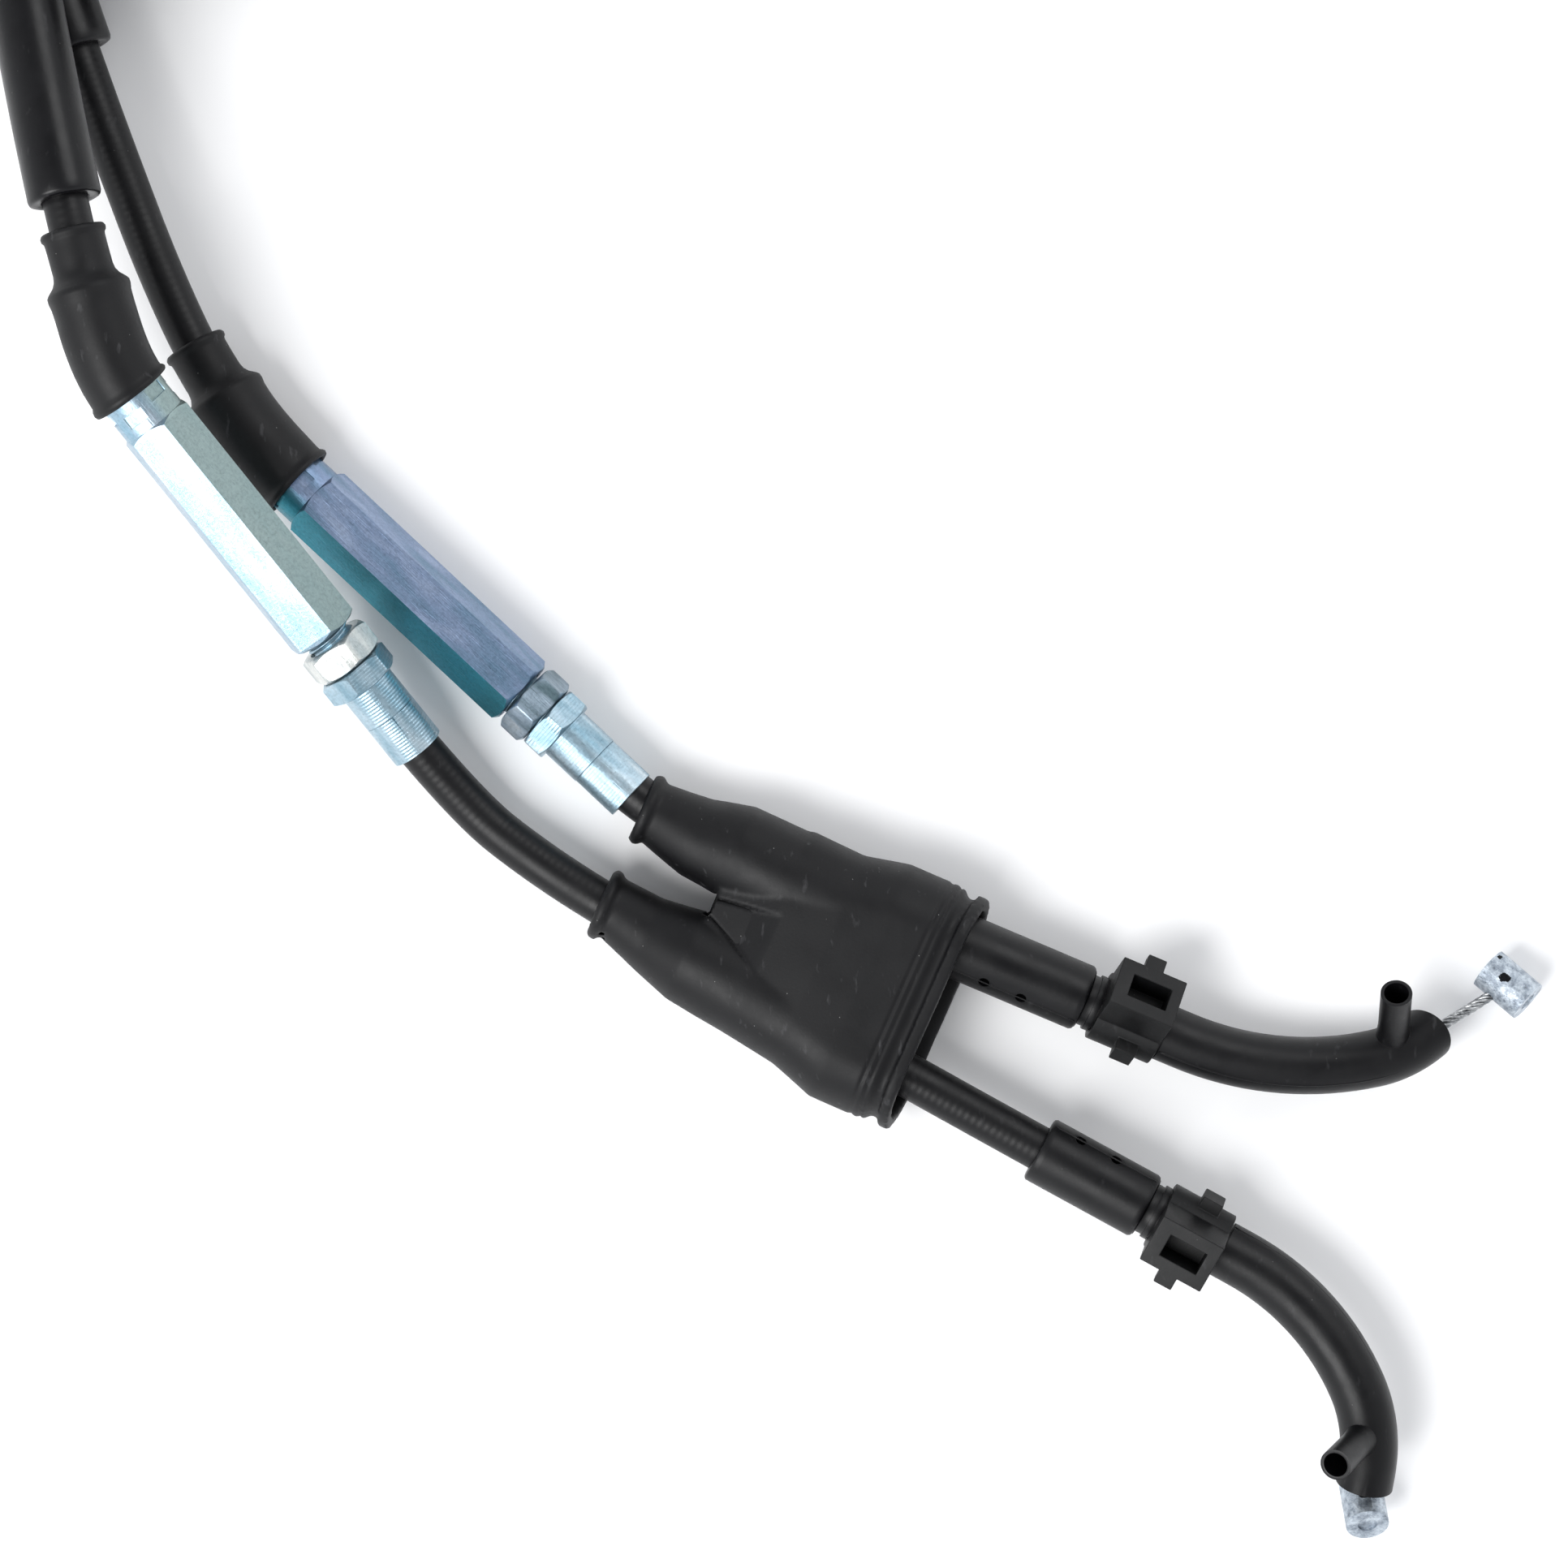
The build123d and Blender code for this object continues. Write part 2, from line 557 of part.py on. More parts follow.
def build_cable(name, cable):
    frame = axis_frame(cable["adjuster_at"], cable["adjuster_heading"])
    length = cable["barrel_length"]
    nut_start = length + cable["gap"]
    nut_end = nut_start + NUT_THICK + NUT_GAP
    ferrule_end = nut_end + COLLAR_THICK + cable["ferrule_length"]
    save(frame * adjuster_barrel(length, cable["barrel_turn"]), f"{name}_adjuster_barrel")
    save(frame * lock_nut(nut_start, cable["nut_turn"]), f"{name}_lock_nut")
    stud = adjuster_stud(nut_end, cable["ferrule_length"], cable["collar_turn"])
    save(frame * stud, f"{name}_adjuster_stud")
    save(frame * casing_cap(), f"{name}_casing_cap")
    save(dust_boot(frame, cable["boot_bend"]), f"{name}_dust_boot")

    place = place_elbow(cable)
    save(
        elbow(
            place,
            cable["elbow_arcs"],
            cable["bend_side"],
            cable["tip_straight"],
            cable["collar_start"],
            cable["holes"],
            cable["pin_at"],
            cable["pin_lean"],
            cable["tip_lean"],
        ),
        f"{name}_elbow",
    )
    save(elbow_clip(place, cable["clip_lean"]), f"{name}_elbow_clip")

    on_adjuster = [
        frame.from_local_coords(Vector(0, 0, ferrule_end - CASING_SEAT + 0.2)),
        frame.from_local_coords(Vector(0, 0, ferrule_end + cable["ferrule_lead"])),
    ]
    on_elbow = [
        place.from_local_coords(Vector(cable["collar_start"] - 3.0, 0, 0)),
        place.from_local_coords(Vector(CASING_SEAT - 0.2, 0, 0)),
    ]
    route = on_adjuster + [Vector(*p) for p in cable["short_run"]] + on_elbow
    radii = arc_radii(route, cable["ferrule_lead"], 2.8)
    save(swept_tube(f"{name}_short_casing", route, radii, CASING_R, CONDUIT_R + FIT), f"{name}_short_casing")
    save(swept_tube(f"{name}_short_conduit", route, radii, CONDUIT_R, LINER_R + FIT), f"{name}_short_conduit")
    save(swept_tube(f"{name}_short_liner", route, radii, LINER_R, WIRE_R + 0.1), f"{name}_short_liner")

    leaving = [
        frame.from_local_coords(Vector(0, 0, CAP_SEAT_DEPTH - 2.5)),
        frame.from_local_coords(Vector(0, 0, -CAP_LEAD)),
    ]
    route = leaving + [Vector(*p) for p in cable["casing"]]
    radii = arc_radii(route, CAP_LEAD + CAP_SEAT_DEPTH - CAP_LENGTH - 0.5)
    save(swept_tube(f"{name}_casing", route, radii, CASING_R), f"{name}_casing")
    first = 2 + cable["sleeve_after"]
    begin = route[first] + (route[first + 1] - route[first]).normalized() * cable["sleeve_lead"]
    stop = route[-1] + (route[-2] - route[-1]) * 0.55
    sleeve_route = [begin] + route[first + 1 : -1] + [stop]
    save(
        swept_tube(f"{name}_sleeve", sleeve_route, radii[first:], SLEEVE_R, SLEEVE_BORE_R),
        f"{name}_sleeve",
    )
    save(coil_ring(cable["coil_base"]), f"{name}_casing_coil")

    end_frame = axis_frame(cable["end_at"], cable["end_heading"])
    inside = end_frame.from_local_coords(Vector(0, 0, END_HEAD_LENGTH - 1.2))
    before_head = end_frame.from_local_coords(Vector(0, 0, -3.0))
    route = [Vector(*p) for p in cable["tail"]] + [before_head, inside]
    radii = arc_radii(route, None, 2.8)
    save(swept_tube(f"{name}_casing_tail", route, radii, CASING_R), f"{name}_casing_tail")
    save(end_frame * end_stud(), f"{name}_end_stud")
    save(end_frame * end_nut(END_HEAD_LENGTH + 3.0), f"{name}_end_nut_inner")
    save(end_frame * end_nut(END_HEAD_LENGTH + 11.0), f"{name}_end_nut_outer")
    seal_at = END_HEAD_LENGTH + 2 + END_THREAD_LENGTH - 3.0
    save(end_frame * end_seal(seal_at), f"{name}_end_seal")
    wire_start = END_HEAD_LENGTH
    nipple_at = END_HEAD_LENGTH + 2 + END_THREAD_LENGTH + END_WIRE_LENGTH
    save(end_frame * cylinder(WIRE_R, wire_start, nipple_at), f"{name}_end_wire")
    end_bar = nipple(
        end_frame.from_local_coords(Vector(0, 0, nipple_at + 0.5)),
        UP,
        cable["end_heading"],
        END_NIPPLE_R,
        END_NIPPLE_LENGTH,
    )
    save(end_bar, f"{name}_end_nipple")

    tip, tip_axis = tip_of(cable)
    centre = Vector(*cable["nipple_at"])
    inside = tip - tip_axis * cable["wire_inset"]
    towards = (centre - inside).normalized()
    save(nipple(centre, cable["nipple_axis"], towards), f"{name}_grip_nipple")
    save(straight_wire(inside, centre - towards * 0.3), f"{name}_grip_wire")


os.makedirs("parts", exist_ok=True)
for cable_name, cable_data in CABLES.items():
    build_cable(cable_name, cable_data)
save(twin_boot(), "twin_boot")
save(coil_ties(), "coil_ties")
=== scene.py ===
import math

import bmesh
import bpy
from mathutils import Matrix, Vector, noise


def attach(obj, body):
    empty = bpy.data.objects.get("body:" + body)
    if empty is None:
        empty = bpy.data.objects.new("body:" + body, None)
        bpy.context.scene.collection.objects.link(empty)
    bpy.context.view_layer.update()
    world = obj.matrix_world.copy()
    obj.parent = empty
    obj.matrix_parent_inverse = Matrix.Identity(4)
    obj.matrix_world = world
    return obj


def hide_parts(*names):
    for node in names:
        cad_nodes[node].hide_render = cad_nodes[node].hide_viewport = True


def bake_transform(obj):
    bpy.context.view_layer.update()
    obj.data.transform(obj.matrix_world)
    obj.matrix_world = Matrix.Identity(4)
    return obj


# A pull and return pair of throttle cables lying on a pale bench, twist grip end in view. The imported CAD
# model gives most rigid parts; the rubber, the casings, the bare wires, the threads and the collars of the
# elbows are made here.

MM = 0.001
UP = Vector((0, 0, 1))

# Casing, sleeve and wire, radii in millimetres
CASING_R = 2.65
CONDUIT_R = 1.88
LINER_R = 1.2
SLEEVE_R = 4.3
SLEEVE_BORE_R = 2.9
WIRE_R = 0.62

# Adjuster and throttle body end
CAP_SEAT = 7.5
CAP_LEAD = 8.0
CASING_SEAT = 9.0
NUT_AND_GAP = 3.65
COLLAR_THICK = 2.9
THREAD_LENGTH = 16.0
THREAD_R = 2.97
THREAD_ROOT_R = 2.45
THREAD_PITCH = 1.0
THREAD_OVERLAP = 0.4
BOOT_KNEE = -7.4
BODY_CUT = 0.02
END_HEAD = 8.0
END_COLLAR = 2.0
END_THREAD = 18.0
END_WIRE = 38.0
SEAT_GAP = 0.2
END_SEAT_GAP = 1.2
END_LEAD = 3.0

# Elbow: radii, and places along its collar's axis
COLLAR_R = 4.0
COLLAR_LENGTH = 14.4
DRAIN_R = 0.68
DRAIN_DEPTH = 3.6
DRAIN_CENTRE_R = 4.4
WIRE_BORE_R = 1.15
SEAT_PLAY = 0.05
ARM_OVERLAP = 0.03
ELBOW_LEAD = 3.0
NECK_END = 24.6
ELBOW_STRAIGHT = 27.0
PARTING_LINE_R = 3.36

# Shared boot: its mouth and axes, the grooves behind its lip, and the web between its legs. A groove is a
# place along the boot and a depth.
BOOT_MOUTH = Vector((16.5, -15.5, 7.2))
BOOT_U_AZIMUTH = -24
BOOT_V_AZIMUTH = 66
BOOT_GROOVES = ((-2.9, 0.28), (-4.1, 0.16))
GROOVE_WIDTH = 0.28
MOUTH_SLANT = 0.17
WEB_CROTCH = -30.5
WEB_LENGTH = 9.5
WEB_DEPTH = 1.2
WEB_EDGE = 0.3

# Coils of the spare length: centre, turn radii, layers and the part turn where each change is made
COIL_CENTRE = (-59.3, 150.0)
OUTER_TURN = 32.7
INNER_TURN = 27.3
FIRST_LAYER = 3.9
LAYER = 5.3
POINTS_PER_TURN = 24
GOING_IN = (0.75, 1.0)
GOING_UP = (1.6, 1.85)
GOING_OUT = (2.35, 2.6)


def heading(azimuth, slope=0.0):
    """Unit direction from a bearing on the bench and a slope above it, in degrees."""
    a = math.radians(azimuth)
    s = math.radians(slope)
    return Vector((math.cos(s) * math.cos(a), math.cos(s) * math.sin(a), math.sin(s)))


CABLES = {
    "upper": {
        "adjuster_at": (-56.7, 45.2, 5.3),
        "adjuster_heading": heading(-43.1),
        "barrel_length": 33.6,
        "gap": 0.4,
        "ferrule_length": 10.8,
        "ferrule_lead": 4.4,
        "boot_bend": [(-67.3, 57.0, 5.3), (-70.9, 63.4, 5.3)],
        "boot_mouth": -2.6,
        "casing": [
            (-69.6, 60.4, 5.3),
            (-75.0, 72.0, 5.2),
            (-79.4, 83.5, 5.0),
            (-83.1, 93.5, 4.8),
            (-87.8, 107.0, 4.9),
            (-91.2, 119.5, 4.9),
            (-92.0, 136.0, 3.9),
        ],
        "sleeve_from": (-84.7, 98.2, 4.8),
        "sleeve_to": (-91.6, 126.9, 4.4),
        "short_run": [(-1.5, 0.9, 6.0)],
        "elbow_at": (21.1, -8.3, 6.9),
        "elbow_heading": heading(-23.0, -2.3),
        "elbow_arcs": [(38.0, 35.0), (14.0, 27.0)],
        "bend_side": 1,
        "tip_straight": 0.0,
        "collar_start": -4.0,
        "parting_roll": -42,
        "drain_side": -45,
        "drains": (2.4, 7.1),
        "nipple_at": (84.6, -12.35, 4.2),
        "wire_inset": 2.0,
        "coil_turns": 3.25,
        "coil_lift": 0.0,
        "tail": [(-59.3, 182.7, 9.2), (-48.0, 182.9, 8.0), (-36.5, 182.5, 6.1)],
        "end_at": (-25.0, 182.7, 5.9),
        "end_heading": heading(0),
    },
    "lower": {
        "adjuster_at": (-74.1, 53.5, 18.0),
        "adjuster_heading": heading(-51.9, -14.9),
        "barrel_length": 32.0,
        "gap": 1.2,
        "ferrule_length": 10.0,
        "ferrule_lead": 8.4,
        "boot_bend": [(-81.4, 68.4, 20.4), (-83.2, 75.3, 20.3)],
        "boot_mouth": -4.0,
        "casing": [
            (-82.6, 72.5, 20.6),
            (-85.6, 85.5, 19.3),
            (-88.2, 97.5, 17.1),
            (-90.6, 109.0, 15.4),
            (-91.8, 120.0, 14.8),
            (-92.1, 136.0, 14.7),
        ],
        "sleeve_from": (-84.1, 79.0, 19.9),
        "sleeve_to": (-91.9, 127.2, 14.8),
        "short_run": [
            (-30.0, 1.9, 3.9),
            (-19.5, -4.6, 4.9),
            (-7.5, -11.6, 5.9),
            (8.0, -19.9, 6.3),
        ],
        "elbow_at": (29.0, -31.6, 5.9),
        "elbow_heading": heading(-28.6, 2.7),
        "elbow_arcs": [(31.0, 38.0), (17.0, 34.0)],
        "bend_side": -1,
        "tip_straight": 1.6,
        "collar_start": 0.0,
        "parting_roll": 62,
        "drain_side": 55,
        "drains": (3.8, 8.5),
        "nipple_at": (67.5, -73.8, 4.45),
        "wire_inset": 0.0,
        "coil_turns": 3.19,
        "coil_lift": 10.8,
        "tail": [(-71.5, 180.3, 19.9), (-60.5, 184.7, 18.2), (-48.0, 189.2, 13.0), (-36.0, 193.0, 7.6)],
        "end_at": (-24.0, 195.8, 5.9),
        "end_heading": heading(12),
    },
}

# Where the clips are frosted: centre on the bench and half sizes, in millimetres
FROSTED_PADS = [
    ((45.9, -39.1, 8.0), (1.5, 1.0, 5.0)),
    ((50.6, -41.5, 8.0), (1.5, 1.0, 5.0)),
    ((36.4, -15.1, 8.0), (0.9, 1.5, 5.0)),
    ((41.2, -17.2, 8.0), (0.9, 1.6, 5.0)),
]
# Black stains on a nipple, in the same form
NIPPLE_STAINS = [
    ((83.9, -11.4, 6.6), (1.5, 1.1, 3.0)),
    ((83.5, -9.0, 6.0), (0.7, 0.45, 3.0)),
]
# Passivated zinc: pale, deep and patch colours, and for the bars a direction and the painted shade colour
# laid on the faces turned towards it
TURNED_TINT = ("#a9c0cc", "#7fa0b0", "#d3dee4")
BAR_TINTS_AND_PAINTED_SHADE = {
    "upper": ("#8597b4", "#6b87a0", "#a3b2cc", (-0.68, -0.73, 0.0), "#2c7d8b"),
    "lower": ("#aebfcc", "#8fb0c2", "#c0ced8", (0.79, 0.61, 0.0), "#8a9c99"),
}
NUT_TINTS = {
    "upper": ("#9fb0bf", "#5c7078", "#cfd6d8"),
    "lower": ("#d6d8d4", "#b5bdbd", "#efeeea"),
}
TOOL_MARK_PITCH = 0.4


# ---------------------------------------------------------------- places and paths

def axis_frame(origin, direction):
    """Matrix with z along a direction and x as near to straight up as it can be, in millimetres."""
    x = (UP - direction * UP.dot(direction)).normalized()
    y = direction.cross(x)
    turn = Matrix((x, y, direction)).transposed().to_4x4()
    return Matrix.Translation(Vector(origin)) @ turn


def adjuster_frame(cable):
    return axis_frame(cable["adjuster_at"], cable["adjuster_heading"])


def nut_end(cable):
    """Where the lock nut ends and the stud's own collar begins, along the adjuster's axis."""
    return cable["barrel_length"] + cable["gap"] + NUT_AND_GAP


def end_frame(cable):
    return axis_frame(cable["end_at"], cable["end_heading"])


def elbow_frame(cable):
    """The elbow's frame: x along the collar, z up."""
    x = cable["elbow_heading"]
    z = (UP - x * UP.dot(x)).normalized()
    turn = Matrix((x, z.cross(x), z)).transposed().to_4x4()
    return Matrix.Translation(Vector(cable["elbow_at"])) @ turn


def elbow_line(cable, step=3.0):
    """Points along the elbow's bend, from the clip to the tip, with the direction at each."""
    x, y, angle = ELBOW_STRAIGHT, 0.0, 0.0
    line = [(Vector((NECK_END, 0, 0)), 0.0), (Vector((x, 0, 0)), 0.0)]
    for radius, turn in cable["elbow_arcs"]:
        parts = max(2, round(radius * math.radians(turn) / step))
        for k in range(1, parts + 1):
            now = angle + math.radians(turn) * k / parts
            px = x + radius * (math.sin(now) - math.sin(angle))
            py = y + radius * (math.cos(angle) - math.cos(now))
            line.append((Vector((px, py, 0)), now))
        x, y, angle = line[-1][0].x, line[-1][0].y, line[-1][1]
    side = cable["bend_side"]
    place = elbow_frame(cable)
    found = []
    for point, angle in line:
        ahead = Vector((math.cos(angle), side * math.sin(angle), 0))
        found.append((place @ Vector((point.x, side * point.y, 0)), (place.to_3x3() @ ahead).normalized()))
    return found


def tip_of(cable):
    """Where the elbow ends, and the way that the wire leaves it."""
    point, ahead = elbow_line(cable)[-1]
    return point + ahead * cable["tip_straight"], ahead


def spline_path(points, resolution=10):
    """Metre points along the smooth NURBS line whose control points are given in millimetres."""
    data = bpy.data.curves.new("route", "CURVE")
    data.dimensions = "3D"
    data.resolution_u = resolution
    spline = data.splines.new("NURBS")
    spline.points.add(len(points) - 1)
    for slot, point in zip(spline.points, points):
        slot.co = (*(Vector(point) * MM), 1)
    spline.order_u = 3
    spline.use_endpoint_u = True
    holder = bpy.data.objects.new("route", data)
    bpy.context.scene.collection.objects.link(holder)
    bpy.context.view_layer.update()
    seen = holder.evaluated_get(bpy.context.evaluated_depsgraph_get())
    mesh = bpy.data.meshes.new_from_object(seen)
    path = [v.co.copy() for v in mesh.vertices]
    bpy.data.objects.remove(holder)
    bpy.data.meshes.remove(mesh)
    return path


def lengths(path):
    """Distance from the start to each point of a path."""
    run = [0.0]
    for a, b in zip(path, path[1:]):
        run.append(run[-1] + (b - a).length)
    return run


def transported(path):
    """Point, tangent and a side that doesn't twist, at each point of a path."""
    tangents = []
    for k in range(len(path)):
        a, b = path[max(k - 1, 0)], path[min(k + 1, len(path) - 1)]
        tangents.append((b - a).normalized())
    side = tangents[0].orthogonal().normalized()
    frames = []
    for point, tangent in zip(path, tangents):
        side = (side - tangent * side.dot(tangent)).normalized()
        frames.append((point, tangent, side))
    return frames


def place_along(frames, run, s):
    """Point, side and other side at a distance along a path, carried straight on past its ends."""
    if s <= 0:
        point, tangent, side = frames[0]
        point = point + tangent * s
    elif s >= run[-1]:
        point, tangent, side = frames[-1]
        point = point + tangent * (s - run[-1])
    else:
        k = next(i for i in range(1, len(run)) if run[i] >= s)
        share = (s - run[k - 1]) / max(run[k] - run[k - 1], 1e-9)
        point = frames[k - 1][0].lerp(frames[k][0], share)
        tangent = frames[k - 1][1].lerp(frames[k][1], share).normalized()
        side = frames[k - 1][2].lerp(frames[k][2], share).normalized()
    return point, side, tangent.cross(side)


def nearest_length(path, point):
    """Distance along a path to its point nearest to one given in millimetres."""
    target = Vector(point) * MM
    run = lengths(path)
    return min(zip(run, path), key=lambda pair: (pair[1] - target).length)[0]


# ---------------------------------------------------------------- meshes

def new_piece(name, bm, material):
    """Object at the origin from a bmesh, smooth shaded, with one material."""
    mesh = bpy.data.meshes.new(name)
    bmesh.ops.recalc_face_normals(bm, faces=bm.faces)
    bm.to_mesh(mesh)
    bm.free()
    for face in mesh.polygons:
        face.use_smooth = True
    mesh.materials.append(material)
    piece = bpy.data.objects.new(name, mesh)
    bpy.context.scene.collection.objects.link(piece)
    return piece


def skin(name, path, stations, material, ring=32, closed=False):
    """Round skin along a path. A station is a distance along it and a radius, both in millimetres.

    An open skin is capped at both ends; a closed one comes back inside itself, as a tube's wall does.
    Its UV map is in millimetres: U round the skin, V along the path.
    """
    bm = bmesh.new()
    frames = transported(path)
    run = lengths(path)
    rings = []
    for s, r in stations:
        point, side, other = place_along(frames, run, s * MM)
        circle = []
        for k in range(ring):
            a = 2 * math.pi * k / ring
            circle.append(bm.verts.new(point + (side * math.cos(a) + other * math.sin(a)) * (r * MM)))
        rings.append(circle)
    uv = bm.loops.layers.uv.new("UVMap")
    pairs = list(zip(range(len(rings) - 1), range(1, len(rings))))
    if closed:
        pairs.append((len(rings) - 1, 0))
    for i, j in pairs:
        r = max(stations[i][1], stations[j][1])
        for k in range(ring):
            n = (k + 1) % ring
            face = bm.faces.new((rings[i][k], rings[i][n], rings[j][n], rings[j][k]))
            spots = ((k, i), (k + 1, i), (k + 1, j), (k, j))
            for loop, (around, along) in zip(face.loops, spots):
                loop[uv].uv = (2 * math.pi * r * around / ring, stations[along][0])
    if not closed:
        for circle in (rings[0], rings[-1]):
            bm.faces.new(circle)
    return new_piece(name, bm, material)


def even_stations(start, stop, radius, step=1.0):
    """Stations of one radius from start to stop, at most a step apart."""
    count = max(2, math.ceil((stop - start) / step))
    return [(start + (stop - start) * k / count, radius) for k in range(count + 1)]


def thread_piece(name, place, start, stop, material, pitch=THREAD_PITCH):
    """Single start screw thread along z of a frame, as one closed skin."""
    around, per_pitch = 40, 8
    rows = round((stop - start) / pitch * per_pitch)
    bm = bmesh.new()
    rings = []
    for j in range(rows + 1):
        z = start + (stop - start) * j / rows
        circle = []
        for k in range(around):
            phase = (z / pitch - k / around) % 1.0
            crest = 1.0 - min(1.0, max(0.0, (abs(phase - 0.5) * 2 - 0.12) / 0.76))
            r = THREAD_ROOT_R + (THREAD_R - THREAD_ROOT_R) * crest
            if j in (0, rows):
                r = THREAD_ROOT_R
            a = 2 * math.pi * k / around
            circle.append(bm.verts.new(place @ Vector((r * math.cos(a), r * math.sin(a), z)) * MM))
        rings.append(circle)
    for low, high in zip(rings, rings[1:]):
        for k in range(around):
            n = (k + 1) % around
            bm.faces.new((low[k], low[n], high[n], high[k]))
    bm.faces.new(rings[0])
    bm.faces.new(rings[-1])
    return new_piece(name, bm, material)


def welded_copy(node):
    """Bmesh of a CAD node with its loose triangles merged."""
    bm = bmesh.new()
    bm.from_mesh(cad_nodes[node].data)
    bmesh.ops.remove_doubles(bm, verts=bm.verts, dist=1e-6)
    return bm


def cut_copy(name, node, place, above, material):
    """Copy of a CAD node that keeps what lies above a height along its own axis."""
    bm = welded_copy(node)
    point = place @ Vector((0, 0, above)) * MM
    normal = place.to_3x3() @ Vector((0, 0, 1))
    parts = bm.verts[:] + bm.edges[:] + bm.faces[:]
    cut = bmesh.ops.bisect_plane(
        bm, geom=parts, dist=1e-7, plane_co=point, plane_no=normal, clear_inner=True
    )
    edges = [e for e in cut["geom_cut"] if isinstance(e, bmesh.types.BMEdge)]
    bmesh.ops.triangle_fill(bm, edges=edges, use_beauty=True)
    return new_piece(name, bm, material)


def dress(node_name, material, edge):
    """A CAD node with its material, and rounded edges of a width in millimetres."""
    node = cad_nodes[node_name]
    node.data.materials.clear()
    node.data.materials.append(material)
    crisp(node, edge)


def crisp(piece, width=0.12, angle=32):
    """Small rounded edges and even shading, as a real machined or moulded edge has."""
    for face in piece.data.polygons:
        face.use_smooth = True
    weld = piece.modifiers.new("weld", "WELD")
    weld.merge_threshold = 1e-6
    bevel = piece.modifiers.new("edges", "BEVEL")
    bevel.width = width * MM
    bevel.segments = 2
    bevel.limit_method = "ANGLE"
    bevel.angle_limit = math.radians(angle)
    bevel.use_clamp_overlap = True
    bevel.harden_normals = False
    shade = piece.modifiers.new("shading", "WEIGHTED_NORMAL")
    shade.keep_sharp = True
    return piece


def baked(piece):
    """The piece with its modifiers applied to its mesh."""
    bpy.context.view_layer.update()
    seen = piece.evaluated_get(bpy.context.evaluated_depsgraph_get())
    mesh = bpy.data.meshes.new_from_object(seen)
    piece.modifiers.clear()
    piece.data = mesh
    return piece


def press(piece, relief):
    """Moves the skin along its normals by a relief, in millimetres, that depends on the place."""
    skin_normals = [vertex.normal.copy() for vertex in piece.data.vertices]
    for vertex, normal in zip(piece.data.vertices, skin_normals):
        vertex.co += normal * (relief(vertex.co / MM) * MM)


def softened(name, node, voxel, smoothing, material):
    """Rubber form from a CAD node: remeshed finely, then smoothed as moulded rubber is."""
    piece = new_piece(name, welded_copy(node), material)
    remesh = piece.modifiers.new("remesh", "REMESH")
    remesh.mode = "VOXEL"
    remesh.voxel_size = voxel * MM
    remesh.use_smooth_shade = True
    smooth = piece.modifiers.new("smooth", "SMOOTH")
    smooth.factor = 0.5
    smooth.iterations = smoothing
    baked(piece)
    for face in piece.data.polygons:
        face.use_smooth = True
    return piece


def strands(name, start, stop, material, count=6, lay=5.5):
    """Stranded wire between two points in millimetres: a core with a layer laid round it."""
    start, stop = Vector(start), Vector(stop)
    length = (stop - start).length
    place = axis_frame(start, (stop - start).normalized())
    bm = bmesh.new()
    strand_r = WIRE_R / 3
    rows = max(4, math.ceil(length / 0.35))
    for n in range(count + 1):
        offset = 0.0 if n == count else 2 * strand_r
        rings = []
        for j in range(rows + 1):
            z = length * j / rows
            turn = 2 * math.pi * (z / lay + n / count)
            centre = Vector((offset * math.cos(turn), offset * math.sin(turn), z))
            ring = []
            for k in range(8):
                a = 2 * math.pi * k / 8
                spot = centre + Vector((math.cos(a), math.sin(a), 0)) * (strand_r * 1.08)
                ring.append(bm.verts.new(place @ spot * MM))
            rings.append(ring)
        for low, high in zip(rings, rings[1:]):
            for k in range(8):
                m = (k + 1) % 8
                bm.faces.new((low[k], low[m], high[m], high[k]))
        bm.faces.new(rings[0])
        bm.faces.new(rings[-1])
    return new_piece(name, bm, material)


# ---------------------------------------------------------------- materials

def colour(code, alpha=1.0):
    """Linear colour from an sRGB hex value."""
    parts = [int(code[k : k + 2], 16) / 255 for k in (1, 3, 5)]
    return [p / 12.92 if p <= 0.04045 else ((p + 0.055) / 1.055) ** 2.4 for p in parts] + [alpha]


def add(tree, kind, settings=None, **inputs):
    """Adds a node, sets its settings, and fills or links its inputs by identifier or name."""
    made = tree.nodes.new(kind)
    for key, value in (settings or {}).items():
        setattr(made, key, value)
    for key, value in inputs.items():
        socket = made.inputs[int(key[1:])] if key[0] == "_" else made.inputs[key.replace("_", " ")]
        if isinstance(value, bpy.types.NodeSocket):
            tree.links.new(value, socket)
        else:
            socket.default_value = value
    return made


def start_material(name):
    material = bpy.data.materials.new(name)
    material.use_nodes = True
    tree = material.node_tree
    tree.nodes.clear()
    shader = add(tree, "ShaderNodeBsdfPrincipled")
    add(tree, "ShaderNodeOutputMaterial", Surface=shader.outputs[0])
    return material, tree, shader


def ramp(tree, factor, stops):
    """Colour ramp over a factor; a stop is a position and a grey value or a hex colour."""
    made = add(tree, "ShaderNodeValToRGB", Fac=factor)
    elements = made.color_ramp.elements
    while len(elements) < len(stops):
        elements.new(0.5)
    for element, (position, value) in zip(elements, stops):
        element.position = position
        element.color = colour(value) if isinstance(value, str) else (value, value, value, 1)
    return made.outputs["Color"]


def scaled(tree, value, factor, plus=0.0):
    """Value times a factor, with something added."""
    settings = {"operation": "MULTIPLY_ADD"}
    return add(tree, "ShaderNodeMath", settings, _0=value, _1=factor, _2=plus).outputs[0]


def blended(tree, share, first, second, kind="MIX"):
    """Colour mix; the second colour may be a socket or a hex value."""
    second = colour(second) if isinstance(second, str) else second
    settings = {"data_type": "RGBA", "blend_type": kind}
    return add(tree, "ShaderNodeMix", settings, _0=share, _6=first, _7=second).outputs[2]


def noised(tree, vector, scale, detail, roughness=0.5):
    """Noise value over a vector."""
    made = add(tree, "ShaderNodeTexNoise", Vector=vector, Scale=scale, Detail=detail, Roughness=roughness)
    return made.outputs["Fac"]


